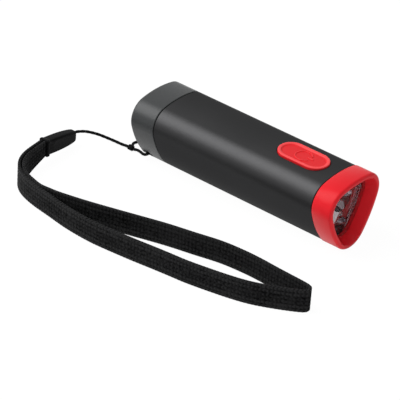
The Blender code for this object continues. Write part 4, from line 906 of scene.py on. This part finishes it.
# The raised rim is painted a lighter red the higher it stands: a painted highlight.
painted_rim_highlight = ((button_height + (FLOOR - FIELD - RIM_HIGHLIGHT_START)) / RIM_HIGHLIGHT_RISE).clamped() * RIM_HIGHLIGHT_SHARE
moulded = button_red.blend((0.62, 0.012, 0.016, 1), (0.67, 0.016, 0.021, 1), button_tone)
button_red.set(
    Base_Color=button_red.blend(moulded, (0.86, 0.075, 0.080, 1), painted_rim_highlight),
    Roughness=button_grain * 0.10 + 0.34,
    Specular_IOR_Level=0.14,
)
button_red.bump(button_grain, 0.000015)
button_mesh = carve(button_shell, ("UNION", post), crease=50)
piece("button_cap", button_mesh, button_red, body="button", stands_for=["button"])

SIGN_RADIUS = 0.0038
SIGN_WIRE = 0.00030
SIGN_GAP = math.radians(26)
SIGN_STEPS = 40
sign_turns = [SIGN_GAP + (CIRCLE - 2 * SIGN_GAP) * i / SIGN_STEPS for i in range(SIGN_STEPS + 1)]


def bead(name, points, radius):
    """A raised line: a round bar along its points."""
    curve = line_of(name, points, place=Matrix())
    curve.bevel_depth = radius
    curve.bevel_resolution = 5
    curve.use_fill_caps = True
    shape = bmesh.new()
    shape.from_mesh(outcome(in_scene(name, curve)))
    bmesh.ops.remove_doubles(shape, verts=shape.verts, dist=WELD)
    return mesh_of(name, shape, at_button)


ring = [(SIGN_RADIUS * math.cos(a), SIGN_RADIUS * math.sin(a), FIELD) for a in sign_turns]
bar = [(SIGN_RADIUS * 1.30, 0, FIELD), (SIGN_RADIUS * 0.55, 0, FIELD)]
for name, points in (("power_ring", ring), ("power_bar", bar)):
    piece(name, bead(name, points, SIGN_WIRE), button_red, body="button")


# Crank
# A moulded arm, folded flat on the barrel's far side, that turns on a steel shaft. Its knob
# folds on a cross pin into the arm's slot: a ribbed red grip that turns on a steel stem.
ARM_REACH = 0.0440
ARM_HUB_RADIUS = 0.0070
ARM_TIP_RADIUS = 0.0052
ARM_THICKNESS = 0.0044
ARM_EDGE = 0.00035
ARM_BOTTOM = BOSS_PROUD + CLEARANCE
ARM_TOP = ARM_BOTTOM + ARM_THICKNESS
THROUGH = 0.02
PANEL_DEPTH = 0.00025
PANEL_BORDER = 0.0013
PANEL_TIP_BORDER = 0.0004
PANEL_SETBACK = 0.0225
SLOT_START = 0.0262
SLOT_END = 0.0469
SLOT_HALF = 0.0033
RECESS_RADIUS = 0.0033
RECESS_DEPTH = 0.0015
PIN_HOLE = 0.0011
arm_plastic = Surface("black_arm_moulding", roughness=0.45)
arm_grain = arm_plastic.noise(2300, detail=3)
arm_cloud = arm_plastic.noise(70, detail=3)
arm_plastic.tones(
    (0.011, 0.011, 0.012),
    (0.018, 0.018, 0.019),
    arm_cloud,
    Roughness=arm_grain * 0.14 + 0.38,
    Specular_IOR_Level=0.20,
)
arm_plastic.bump(arm_grain, 0.000020)

lean = math.acos((ARM_HUB_RADIUS - ARM_TIP_RADIUS) / ARM_REACH)
arm_outline = arc(Vector((0, 0)), ARM_HUB_RADIUS, lean, -lean, 32)
arm_outline += arc(Vector((ARM_REACH, 0)), ARM_TIP_RADIUS, -lean, lean, 24)
panel_outline = arc(Vector((0, 0)), ARM_HUB_RADIUS - PANEL_BORDER, lean, -lean, 32)
panel_end = Vector((ARM_REACH - PANEL_SETBACK, 0))
panel_outline += arc(panel_end, ARM_TIP_RADIUS - PANEL_TIP_BORDER, -lean, lean, 24)
slot_corners = (SLOT_START, -SLOT_HALF, -THROUGH / 2), (SLOT_END, SLOT_HALF, THROUGH)
PIN_PLACE = CRANK_PLACE @ Matrix.Translation((ARM_REACH, 0, (ARM_BOTTOM + ARM_TOP) / 2))
arm = carve(
    flat("crank_handle", arm_outline, ARM_BOTTOM, ARM_TOP, CRANK_PLACE),
    ("DIFFERENCE", flat("sunk_panel", panel_outline, ARM_TOP - PANEL_DEPTH, THROUGH, CRANK_PLACE)),
    ("DIFFERENCE", block("knob_slot", *slot_corners, CRANK_PLACE)),
    ("DIFFERENCE", rod("arm_bore", SHAFT_HOLE, -THROUGH / 2, THROUGH, CRANK_PLACE)),
    ("DIFFERENCE", rod("arm_recess", RECESS_RADIUS, ARM_TOP - RECESS_DEPTH, THROUGH, CRANK_PLACE)),
    ("DIFFERENCE", rod("pin_hole", PIN_HOLE, -THROUGH / 2, THROUGH / 2, PIN_PLACE @ TO_Y)),
    edge=ARM_EDGE,
)
piece("crank_handle", arm, arm_plastic, body="crank", stands_for=["crank_arm"])

KNOB_RADIUS = 0.0030
KNOB_START = 0.0025
KNOB_END = 0.0172
KNOB_EDGE = 0.0006
GRIP_FLOOR = 0.0157
GRIP_BORE = 0.0014
GRIP_COUNTERBORE = 0.0021
TO_TAIL = Matrix.Rotation(-QUARTER_TURN, 4, "Y")
grip_profile = [(GRIP_BORE, KNOB_START), (KNOB_RADIUS - KNOB_EDGE, KNOB_START)]
for along, inset in quarter_round(EDGE_STEPS)[1:]:
    grip_profile.append((KNOB_RADIUS - KNOB_EDGE * inset, KNOB_START + KNOB_EDGE * along))
for inset, left in quarter_round(EDGE_STEPS):
    grip_profile.append((KNOB_RADIUS - KNOB_EDGE * inset, KNOB_END - KNOB_EDGE * left))
grip_profile += [(GRIP_COUNTERBORE, KNOB_END), (GRIP_COUNTERBORE, GRIP_FLOOR), (GRIP_BORE, GRIP_FLOOR)]
grip_mesh = lathe("knob_sleeve", grip_profile, PIN_PLACE @ TO_TAIL, segments=48)
piece("knob_sleeve", grip_mesh, red_plastic, body="grip", stands_for=["knob_grip"])

grip_ribs = Recipe("grip_ribs")
rib_count = grip_ribs.size("Count", 20, "NodeSocketInt")
ring_radius = grip_ribs.size("Ring radius", KNOB_RADIUS)
bar_length = grip_ribs.size("Rib length", 0.0108)
bar_radius = grip_ribs.size("Rib radius", 0.00016)
ring_of_points = {"Vertices": rib_count, "Radius": ring_radius}
ring_points = grip_ribs.node("GeometryNodeMeshCircle", {}, ring_of_points)
bars = grip_ribs.set_out(ring_points, grip_ribs.bar(bar_radius, bar_length))
rib_mesh = grip_ribs.make("grip_ribs", bpy.data.meshes.new("no_points"), bars, red_plastic)
rib_mesh.transform(PIN_PLACE @ TO_TAIL @ Matrix.Translation((0, 0, (KNOB_START + KNOB_END) / 2)))
piece("grip_ribs", rib_mesh, red_plastic, body="grip")


# Steel fittings
# Bright zinc-plated steel: the crank's shaft and pins, the knob's stem, the gears' spindles and
# the generator's can. Turned marks run round them, and the plating clouds a little.
zinc = Surface("zinc_plated_steel", metallic=1.0)
plating = zinc.noise(160, detail=4)
turned_marks = zinc.noise(2800, detail=2, stretch=(1, 0.2, 1))
zinc.tones(
    (0.42, 0.42, 0.44),
    (0.58, 0.58, 0.59),
    plating,
    Roughness=turned_marks * 0.14 + plating * 0.10 + 0.18,
)
zinc.bump(turned_marks, 0.000008)
finish(zinc, "crank_shaft", "knob_pin", "knob_stem", "first_gear_pin", "second_gear_pin")
finish(zinc, "rotor_shaft", "stator_can", "switch_housing")


def span(node, place):
    """A CAD node's lowest and highest corners, measured along a place's own axes."""
    spots = [place.inverted() @ vertex.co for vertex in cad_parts[node].data.vertices]
    low = Vector([min(spot[i] for spot in spots) for i in range(3)])
    high = Vector([max(spot[i] for spot in spots) for i in range(3)])
    return low, high


# Screws
# Cross-head screws of the same plated steel, with low heads: two through the tail cap, one in
# the reflector, two in the board, four in the gearbox cover, and a large one in the crank.
RECESS_REACH = 1.15
RECESS_WIDTH = 0.26
FROM_TAIL = HOME @ TO_TAIL


def screws(name, nodes, place, head, shank_radius, body="torch"):
    """A screw in the place of each node. Its head, of a radius and a height, faces the place's Z."""
    tops, length = [], 0
    for node in nodes:
        low, high = span(node, place)
        tops.append(place @ Vector(((low.x + high.x) / 2, (low.y + high.y) / 2, high.z)))
        length = high.z - low.z
    seats = bpy.data.meshes.new(name)
    seats.from_pydata(tops, [], [])
    recipe = Recipe(name)
    axis = recipe.size("Axis", tuple(place.to_3x3() @ Vector((0, 0, 1))), "NodeSocketVector")
    wide = recipe.size("Head radius", head[0])
    tall = recipe.size("Head height", head[1])
    thin = recipe.size("Shank radius", shank_radius)
    reach = recipe.size("Length", length)

    def along(shape, height):
        spot = recipe.node("ShaderNodeCombineXYZ", {}, {"Z": height})
        return recipe.node("GeometryNodeTransform", {}, {"Geometry": shape, "Translation": spot})

    def bar(radius, top, depth):
        return along(recipe.bar(radius, depth, sides=32), top - depth / 2)

    crown_size = {"Vertices": 32, "Radius Top": wide * 0.84, "Radius Bottom": wide, "Depth": tall * 0.4}
    crown = along(recipe.node("GeometryNodeMeshCone", {}, crown_size), tall * -0.4)
    solid = recipe.node("GeometryNodeMeshBoolean", {"operation": "UNION", "solver": "EXACT"})
    for shape in (crown, bar(wide, tall * -0.35, tall * 0.65), bar(thin, tall * -0.5, reach - tall * 0.5)):
        recipe.plug(solid.socket.node, 1, shape)
    cutting = {"operation": "DIFFERENCE", "solver": "EXACT"}
    for across, beside in ((RECESS_REACH, RECESS_WIDTH), (RECESS_WIDTH, RECESS_REACH)):
        size = {"X": wide * across, "Y": wide * beside, "Z": tall * 1.3}
        slot = recipe.node("GeometryNodeMeshCube", {}, {0: recipe.node("ShaderNodeCombineXYZ", {}, size)})
        solid = recipe.node("GeometryNodeMeshBoolean", cutting, {0: solid, 1: slot})
    placed = recipe.set_out(recipe.given, solid, axis)
    piece(name, recipe.make(name, seats, placed, zinc, crease=25), zinc, body, nodes)


cap_nodes = ["cap_screw_left", "cap_screw_right"]
board_nodes = ["board_screw_1", "board_screw_2"]
cover_nodes = [f"gearbox_screw_{number}" for number in range(1, 5)]
screws("cap_screws", cap_nodes, FROM_TAIL, head=(0.0018, 0.0008), shank_radius=0.0008)
screws("reflector_fixing", ["reflector_screw"], HOME @ TO_X, head=(0.0010, 0.0006), shank_radius=0.0006)
screws("board_screws", board_nodes, HOME, head=(0.0015, 0.0008), shank_radius=0.0007)
screws("gearbox_screws", cover_nodes, FAR_FACE, head=(0.0011, 0.0007), shank_radius=0.0006)
screws("crank_fixing", ["crank_screw"], CRANK_PLACE, (0.0030, 0.0009), 0.0010, body="crank")


# Chassis and gearbox cover
# Two black mouldings inside the barrel that carry the gear train, the battery and the board.
# The tray under the board and the button's plunger are of the same plastic.
inner_plastic = Surface("black_inner_moulding", roughness=0.5)
flow = inner_plastic.noise(90, detail=3, stretch=(0.3, 1, 1))
fine = inner_plastic.noise(2600, detail=2)
inner_plastic.tones(
    (0.016, 0.016, 0.017),
    (0.026, 0.026, 0.027),
    flow,
    Roughness=fine * 0.16 + 0.40,
)
inner_plastic.bump(fine, 0.000020)
finish(inner_plastic, "chassis", "gearbox_cover", "board_tray", "switch_plunger")


# Gear train
# Three gears in white acetal, moulded with a fine flow pattern and slightly polished by use. They
# turn on steel spindles in the chassis and step the crank's turning up.
acetal = Surface("white_acetal", roughness=0.4)
gate = acetal.noise(220, detail=4)
polished = acetal.noise(1900, detail=2)
acetal.tones((0.70, 0.69, 0.64), (0.80, 0.79, 0.75), gate, Roughness=polished * 0.16 + 0.30)
acetal.bump(polished, 0.000010)
finish(acetal, "crank_gear", "first_gear", "second_gear")


# Generator
# A pressed ferrite magnet spins inside a coil of enamelled copper wire, wound in even layers
# about the generator's axis. Two of its wires run on to the board.
pressed = Surface("pressed_ferrite", roughness=0.6)
pores = pressed.noise(3200, detail=4)
pressed.tones((0.035, 0.035, 0.038), (0.080, 0.080, 0.085), pores, Roughness=pores * 0.25 + 0.45)
pressed.bump(pores, 0.000030)
finish(pressed, "rotor_magnet")

enamel = Surface("enamelled_copper", metallic=1.0)
across_axis = {0: enamel.place, 2: (-math.atan2(-FAR_NORMAL.x, FAR_NORMAL.y), 0, 0)}
winding_place = enamel.node("ShaderNodeMapping", {"vector_type": "POINT"}, across_axis)
winding_height = enamel.axis(winding_place, 2)
WIRE_PITCH = 0.00026
turns_of_wire = (winding_height * (math.pi / WIRE_PITCH)).sine().absolute()
varnish = enamel.noise(600, detail=3)
# Each turn is painted bright copper on its crown and dark brown in the grooves between turns: painted shade,
# with varnish tone varying at random.
winding_groove_shade_and_varnish = turns_of_wire * 0.8 + varnish * 0.3
enamel.tones((0.30, 0.10, 0.035), (0.78, 0.34, 0.15), winding_groove_shade_and_varnish, Roughness=varnish * 0.15 + 0.22)
enamel.bump(turns_of_wire, 0.00008)
finish(enamel, "coil", "generator_wire_1", "generator_wire_2")


# Boards
# Glass-fibre boards under a green solder mask, with the copper tracks faint beneath it. One
# carries the lamps, and the other the switch, a storage capacitor and the charging chip.
mask_green = Surface("green_solder_mask", roughness=0.35)
tracks = mask_green.node(
    "ShaderNodeTexVoronoi",
    {"feature": "DISTANCE_TO_EDGE", "distance": "MANHATTAN"},
    {"Vector": mask_green.place, "Scale": 420},
)
track = tracks > 0.09
weave_spots = mask_green.noise(1500, detail=2)
track_shade = track * 0.8 + weave_spots * 0.2
mask_green.tones(
    (0.016, 0.13, 0.045),
    (0.030, 0.22, 0.080),
    track_shade,
    Roughness=weave_spots * 0.12 + 0.26,
)
mask_green.bump(track, 0.000030)
finish(mask_green, "led_board", "control_board")

epoxy = Surface("black_epoxy", roughness=0.55)
filler = epoxy.noise(3600, detail=3)
epoxy.tones((0.012, 0.012, 0.012), (0.030, 0.030, 0.031), filler, Roughness=filler * 0.2 + 0.45)
epoxy.bump(filler, 0.000015)
finish(epoxy, "charge_chip", "capacitor")


# Battery
# A small cell in blue shrink film. The film is tight and glossy, with fine draw lines along it,
# and leaves the steel bare at each end.
CELL_LOW, CELL_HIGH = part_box("battery")
BARE_END = 0.0008
film = Surface("blue_shrink_film", roughness=0.3)
cell_x = film.axis(film.place, 0)
mid_cell = (CELL_LOW[0] + CELL_HIGH[0]) / 2
half_cell = (CELL_HIGH[0] - CELL_LOW[0]) / 2
bare = (cell_x - mid_cell).absolute() > half_cell - BARE_END
draw_lines = film.noise(900, detail=2, stretch=(0.05, 1, 1))
wrapped = film.blend((0.012, 0.11, 0.34, 1), (0.020, 0.16, 0.44, 1), draw_lines)
film.set(
    Base_Color=film.blend(wrapped, (0.50, 0.50, 0.52, 1), bare),
    Metallic=bare,
    Roughness=draw_lines * 0.10 + 0.22,
)
film.bump(draw_lines, 0.000020)
finish(film, "battery")


# Inner wires and seal
# Thin stranded wires in soft coloured insulation from the battery and to the lamps, and the
# black rubber ring that seals the cap.
WIRES = {
    "red": ("battery_wire", (0.42, 0.012, 0.014), (0.58, 0.022, 0.022)),
    "black": ("light_wire", (0.010, 0.010, 0.010), (0.022, 0.022, 0.023)),
}
for tint, (wire, deep, pale) in WIRES.items():
    insulation = Surface(f"{tint}_wire_insulation", roughness=0.45)
    mottle = insulation.noise(700, detail=3)
    insulation.tones(deep, pale, mottle, Roughness=mottle * 0.15 + 0.38)
    insulation.bump(mottle, 0.000020)
    finish(insulation, f"{wire}_1", f"{wire}_2")
seal_rubber = Surface("black_seal_rubber", roughness=0.7)
talc = seal_rubber.noise(1300, detail=4)
seal_rubber.tones((0.008, 0.008, 0.008), (0.024, 0.024, 0.024), talc, Roughness=talc * 0.2 + 0.58)
seal_rubber.bump(talc, 0.000025)
finish(seal_rubber, "cap_seal")


# Wrist strap
# One length of narrow knitted polyester tape, stood on its edge. Both of its ends meet in the
# sleeve, so it lies doubled as far as the bend and then opens to a long loop.
WEBBING_WIDTH = 0.0113
WEBBING_THICKNESS = 0.0013
LAYER_PITCH = 0.0019
STITCH_PITCH = 0.0016
WALES = 6
# Width of the painted highlight along each edge of the tape.
SELVEDGE_HIGHLIGHT_WIDTH = 0.0011
outer_layer = [
    (-0.0295, -0.0413),
    (-0.0292, -0.0440),
    (-0.0289, -0.0470),
    (-0.0285, -0.0502),
    (-0.0278, -0.0538),
    (-0.0266, -0.0572),
    (-0.0248, -0.0604),
    (-0.0224, -0.0632),
    (-0.0194, -0.0656),
    (-0.0160, -0.0674),
    (-0.0120, -0.0688),
    (-0.0060, -0.0702),
]
near_band = [
    (0.0025, -0.0715),
    (0.0140, -0.0733),
    (0.0240, -0.0740),
    (0.0330, -0.0739),
    (0.0490, -0.0724),
    (0.0600, -0.0710),
    (0.0685, -0.0700),
    (0.0775, -0.0690),
    (0.0906, -0.0665),
    (0.0990, -0.0645),
    (0.1050, -0.0626),
    (0.1104, -0.0602),
    (0.1170, -0.0567),
    (0.1230, -0.0530),
    (0.1252, -0.0510),
    (0.1253, -0.0490),
    (0.1236, -0.0478),
]
far_band = [
    (0.1200, -0.0474),
    (0.1130, -0.0472),
    (0.1063, -0.0470),
    (0.0980, -0.0466),
    (0.0890, -0.0467),
    (0.0780, -0.0478),
    (0.0655, -0.0508),
    (0.0540, -0.0535),
    (0.0444, -0.0563),
    (0.0320, -0.0601),
    (0.0176, -0.0643),
    (0.0050, -0.0673),
    (-0.0010, -0.0681),
]


def sideways(route, index):
    """The unit vector to the left of a flat route at one of its points."""
    ahead = route[min(index + 1, len(route) - 1)]
    behind = route[max(index - 1, 0)]
    direction = (Vector(ahead) - Vector(behind)).normalized()
    return Vector((-direction.y, direction.x))


def smooth_route(points, per_span):
    """A Catmull-Rom curve through chosen points, with per_span steps between each two."""
    points = [Vector(point) for point in points]
    padded = [2 * points[0] - points[1], *points, 2 * points[-1] - points[-2]]
    route = []
    for before, here, there, after in zip(padded, padded[1:], padded[2:], padded[3:]):
        for i in range(per_span):
            t = i / per_span
            bend = 2 * before - 5 * here + 4 * there - after
            twist = 3 * here - before - 3 * there + after
            route.append(here + (there - before) * t / 2 + bend * t * t / 2 + twist * t**3 / 2)
    return route + [points[-1]]


def length_of(route):
    """The length of a route of points."""
    return sum((there - here).length for here, there in zip(route, route[1:]))


inner_layer = []
for i, point in enumerate(outer_layer):
    inner_layer.append(Vector(point) + sideways(outer_layer, i) * LAYER_PITCH)
strap_route = smooth_route([*outer_layer, *near_band, *far_band, *reversed(inner_layer)], 6)
STRAP_LENGTH = length_of(strap_route)
strap_line = line_of("strap_line", [(p.x, p.y, FLOOR + WEBBING_WIDTH / 2) for p in strap_route])

polyester = Surface("knitted_polyester", roughness=0.85)
run = polyester.stored("along")
rise = polyester.stored("across")
wale = (rise * (math.pi * WALES / WEBBING_WIDTH)).sine().absolute()
stitch = (run * (CIRCLE / STITCH_PITCH) + wale * 3.0).sine() * 0.5 + 0.5
# The tone follows the knit's relief: loop crowns lighter and the hollows between loops darker, which is
# painted shade. Fuzz and mottling vary at random.
yarn = wale**0.5 * (stitch * 0.6 + 0.4)
fuzz = polyester.noise(5200, detail=3)
patch = polyester.noise(60, detail=3)
speck = polyester.noise(900, detail=3)
# Both edges of the tape are painted lighter, with their stitches picked out: a painted highlight for the
# light that the top edge catches.
selvedge_highlight = ((rise.absolute() - (WEBBING_WIDTH / 2 - SELVEDGE_HIGHLIGHT_WIDTH)) / SELVEDGE_HIGHLIGHT_WIDTH).clamped()
edge_rows = ((rise.absolute() - WEBBING_WIDTH * 0.18) / (WEBBING_WIDTH * 0.08)).clamped()
mottling = (patch - 0.5) * 1.0 + (speck - 0.5) * 1.8
knit_tone_and_painted_light = yarn * (edge_rows * 0.5 + 0.6) + fuzz * 0.2 + mottling + selvedge_highlight * (stitch * 0.7 + 0.1)
polyester.tones(
    (0.0008, 0.0008, 0.0009),
    (0.020, 0.020, 0.0205),
    knit_tone_and_painted_light.clamped(),
    Roughness=fuzz * 0.14 + 0.72,
    Sheen_Weight=0.05,
    Sheen_Roughness=0.4,
    Specular_IOR_Level=0.02,
)
polyester.bump(yarn * 0.6 + fuzz * 0.4, 0.00006)

tape = Recipe("knitted_tape")
width = tape.size("Width", WEBBING_WIDTH)
thickness = tape.size("Thickness", WEBBING_THICKNESS)
pitch = tape.size("Stitch pitch", STITCH_PITCH)
wale_count = tape.size("Wales", float(WALES))
depth = tape.size("Stitch depth", 0.00018)
spine = tape.divide(tape.given, pitch / 5)
spine = tape.node("GeometryNodeSetCurveNormal", {"mode": "Z_UP"}, {"Curve": spine})
edge_size = {"Width": thickness, "Height": width}
edge_line = tape.node("GeometryNodeCurvePrimitiveQuadrilateral", {}, edge_size)
fillet = {"Curve": edge_line, "Radius": thickness * 0.4, "Count": 3}
edge_line = tape.node("GeometryNodeFilletCurve", {"mode": "POLY"}, fillet)
edge_line = tape.node("GeometryNodeResampleCurve", {"mode": "COUNT"}, {"Curve": edge_line, "Count": 72})
height = tape.axis(tape.node("GeometryNodeInputPosition"), 1)
edge_line = tape.keep(edge_line, "across", height)
band = tape.sweep(spine, edge_line)
loop_wale = (tape.kept("across") * math.pi * wale_count / width).sine().absolute()
loop_turn = (tape.kept("along") * CIRCLE / pitch + loop_wale * 3.0).sine() * 0.5 + 0.5
relief = (loop_wale**0.5 * (loop_turn * 0.6 + 0.4) - 1) * depth
webbing = tape.make("wrist_strap", strap_line, tape.swell(band, relief), polyester, crease=80)

SLEEVE_MOUTH_Y = -0.0410
SLEEVE_MOUTH_MID = FLOOR + 0.0073
SLEEVE_HEIGHT = 0.0083
TAPER_LENGTH = 0.0115
squeeze = (SLEEVE_MOUTH_MID - SLEEVE_HEIGHT / 2 - FLOOR + CLEARANCE / 2) / WEBBING_WIDTH
for vertex in webbing.vertices:
    here = HOME.inverted() @ vertex.co
    share = min(1, (here.y - SLEEVE_MOUTH_Y) / TAPER_LENGTH + 1)
    if share > 0 and here.x < outer_layer[0][0] + 4 * LAYER_PITCH:
        vertex.co.z += (FLOOR + WEBBING_WIDTH - here.z) * squeeze * share
strap = piece("wrist_strap", webbing, polyester, stands_for=["webbing"])


# Strap sleeve
# A moulded vinyl crimp over the webbing's two ends, with a lip at its mouth. A raised rim runs
# along its top, its flanks are let in below that, and it tapers to the cord.
SLEEVE_LENGTH = 0.0207
SLEEVE_AXIS = ((outer_layer[0][0] + inner_layer[0].x) / 2, -0.0291)
SLEEVE_TIP_MID = FLOOR + 0.0048
SLEEVE_CORNER = 0.0009
SLEEVE_RIM = 0.0016
LET_IN = 0.0006
LIP_SHARE = 0.08
LEAST_SINK = 0.00001
vinyl = Surface("black_vinyl", roughness=0.5)
leather_grain = vinyl.noise(1500, detail=4)
scuff = vinyl.noise(140, detail=4)
vinyl.tones(
    (0.0025, 0.0025, 0.0027),
    (0.006, 0.006, 0.0063),
    scuff,
    Roughness=leather_grain * 0.16 + 0.42,
    Specular_IOR_Level=0.03,
)
vinyl.bump(leather_grain, 0.00004)


def sleeve_outline(thickness, height, sink):
    """A rounded oblong whose two flanks step in below a rim along its top."""
    outline = []
    for i, (x, y) in enumerate(((1, 1), (-1, 1), (-1, -1), (1, -1))):
        half = thickness / 2 - (sink if y < 0 else 0)
        centre = Vector((x * (half - SLEEVE_CORNER), y * (height / 2 - SLEEVE_CORNER)))
        outline += arc(centre, SLEEVE_CORNER, i * QUARTER_TURN, (i + 1) * QUARTER_TURN, 6)
        shoulder = height / 2 - SLEEVE_RIM
        step = [Vector((thickness / 2 - sink, shoulder - LET_IN)), Vector((thickness / 2, shoulder))]
        if i == 1:
            outline += [Vector((-spot.x, spot.y)) for spot in reversed(step)]
        if i == 3:
            outline += step
    return outline


lip = [
    (0.0, 0.96, 0.0046),
    (0.008, 0.99, 0.0051),
    (0.016, 1.0, 0.0053),
    (0.064, 1.0, 0.0053),
    (0.075, 0.98, 0.0050),
]
taper = [
    (0.09, 0.95, 0.0047),
    (0.40, 0.92, 0.0047),
    (0.65, 0.85, 0.0045),
    (0.85, 0.75, 0.0040),
    (0.96, 0.65, 0.0034),
    (1.0, 0.54, 0.0026),
]
sleeve_sections = [Vector(entry) for entry in lip] + smooth_route(taper, 5)
sleeve_rings = []
for share, fullness, thick in sleeve_sections:
    sink = LET_IN * (1 - share) if share > LIP_SHARE else LEAST_SINK
    x = SLEEVE_AXIS[0] + (SLEEVE_AXIS[1] - SLEEVE_AXIS[0]) * share
    y = SLEEVE_MOUTH_Y + SLEEVE_LENGTH * share
    z = SLEEVE_MOUTH_MID + (SLEEVE_TIP_MID - SLEEVE_MOUTH_MID) * share
    outline = sleeve_outline(thick, SLEEVE_HEIGHT * fullness, sink)
    sleeve_rings.append([(x + p.x, y, z + p.y) for p in outline])
sleeve_mesh = skin("crimp_sleeve", sleeve_rings)
sleeve = piece("crimp_sleeve", sleeve_mesh, vinyl, stands_for=["strap_sleeve"])


# Lanyard
# A thin braided cord from the sleeve. It passes through a ribbed clamp, goes round through the
# hole in the cap's keel, and ends back in the clamp.
CORD_RADIUS = 0.00065
HITCH_RADIUS = 0.0013
HITCH_AT = Vector((-0.0076, -0.0062, FLOOR + HITCH_RADIUS + CLEARANCE / 3))
cord_points = [
    (-0.0291, -0.0200, -0.0267),
    (-0.0290, -0.0187, -0.0267),
    (-0.0286, -0.0172, -0.0270),
    (-0.0276, -0.0149, -0.0275),
    (-0.0262, -0.0130, -0.0281),
    (-0.0237, -0.0107, -0.0290),
    (-0.0209, -0.0090, -0.0299),
    (-0.0166, -0.0073, -0.0309),
    (-0.0126, -0.0064, -0.0314),
    (-0.0107, -0.0062, -0.0313),
    (-0.0095, -0.0062, -0.0312),
]
loop_points = [
    (-0.0057, -0.0062, -0.0311),
    (-0.0042, -0.0061, -0.0308),
    (-0.0020, -0.0068, -0.0303),
    (0.0001, -0.0079, -0.0297),
    (0.0017, -0.0088, -0.0292),
    (0.0031, -0.0089, -0.0288),
    (0.0039, -0.0077, -0.0284),
    (0.0046, -0.0060, -0.0282),
    (0.0052, -0.0034, -0.0282),
    (0.0054, 0.0000, -0.0282),
    (0.0052, 0.0034, -0.0282),
    (0.0046, 0.0060, -0.0282),
    (0.0039, 0.0076, -0.0284),
    (0.0031, 0.0086, -0.0289),
    (0.0017, 0.0085, -0.0296),
    (-0.0002, 0.0076, -0.0303),
    (-0.0032, 0.0056, -0.0310),
    (-0.0066, 0.0034, -0.0315),
    (-0.0092, 0.0008, -0.0317),
    (-0.0098, -0.0016, -0.0316),
    (-0.0090, -0.0034, -0.0314),
    (-0.0082, -0.0045, -0.0311),
]
in_clamp = HITCH_AT + Vector((-0.0002, 0.0007, 0))
in_sleeve = (-0.0291, -0.0225, -0.0268)
lanyard_route = [in_clamp, *reversed(loop_points), HITCH_AT, *reversed(cord_points), in_sleeve]
lanyard_route = smooth_route(lanyard_route, 4)
LANYARD_LENGTH = length_of(lanyard_route)
lanyard_line = line_of("lanyard_line", lanyard_route)

braided = Surface("braided_nylon", roughness=0.7)
lay_run = braided.stored("along")
lay_turn = braided.stored("round")
BRAID_LAY = 0.0024
STRANDS = 4
right_lay = (lay_turn * (CIRCLE * STRANDS) + lay_run * (CIRCLE / BRAID_LAY)).sine()
left_lay = (lay_turn * (CIRCLE * STRANDS) - lay_run * (CIRCLE / BRAID_LAY)).sine()
crossing = right_lay.maths("MAXIMUM", right_lay, left_lay).clamped()
lint = braided.noise(6000, detail=2)
# The strands' crowns are lighter and the grooves between them darker: painted shade, with lint varying at
# random.
braid_groove_shade_and_lint = crossing * 0.7 + lint * 0.3
braided.tones(
    (0.002, 0.002, 0.002),
    (0.007, 0.007, 0.0075),
    braid_groove_shade_and_lint,
    Roughness=lint * 0.15 + 0.55,
    Specular_IOR_Level=0.03,
)
braided.bump(crossing, 0.00004)

cord_recipe = Recipe("braided_cord")
radius = cord_recipe.size("Radius", CORD_RADIUS)
lay = cord_recipe.size("Lay", BRAID_LAY)
strands = cord_recipe.size("Strands", float(STRANDS))
strand_depth = cord_recipe.size("Strand depth", 0.00007)
core = cord_recipe.divide(cord_recipe.given, lay / 9)
round_line = cord_recipe.node("GeometryNodeCurvePrimitiveCircle", {}, {"Resolution": 24, "Radius": radius})
around = cord_recipe.node("GeometryNodeSplineParameter")
round_line = cord_recipe.keep(round_line, "round", around)
tube = cord_recipe.sweep(core, round_line)
turns = cord_recipe.kept("round") * strands * CIRCLE
travel = cord_recipe.kept("along") * CIRCLE / lay
rightward = (turns + travel).sine()
weft = rightward.maths("MAXIMUM", rightward, (turns - travel).sine()).clamped()
braid = cord_recipe.swell(tube, (weft - 0.5) * strand_depth)
braid_mesh = cord_recipe.make("lanyard", lanyard_line, braid, braided, crease=80)
lanyard_nodes = ["lanyard_cord", "lanyard_loop"]
lanyard = piece("lanyard", braid_mesh, braided, stands_for=lanyard_nodes)

RIBS = 3
RIB_STEPS = 6
HITCH_HALF = 0.0013
END_SHARES = [(0, 1), (0.62, 1), (0.86, 0.86)]
hitch_profile = [(HITCH_RADIUS * out, HITCH_HALF * up) for out, up in END_SHARES]
for i in range(RIBS * RIB_STEPS + 1):
    height = HITCH_HALF * 0.8 * (1 - 2 * i / (RIBS * RIB_STEPS))
    groove = 0.5 - 0.5 * math.cos(CIRCLE * i / RIB_STEPS + math.pi)
    hitch_profile.append((HITCH_RADIUS * (0.90 + 0.10 * groove), height))
hitch_profile += [(HITCH_RADIUS * out, -HITCH_HALF * up) for out, up in reversed(END_SHARES)]
hitch_place = HOME @ Matrix.Translation(HITCH_AT) @ TO_X
hitch_mesh = lathe("clamp", hitch_profile, hitch_place, segments=32, crease=50)
clamp = piece("clamp", hitch_mesh, vinyl, stands_for=["cord_hitch"])
[tuple(HOME @ point) for point in lanyard_route]
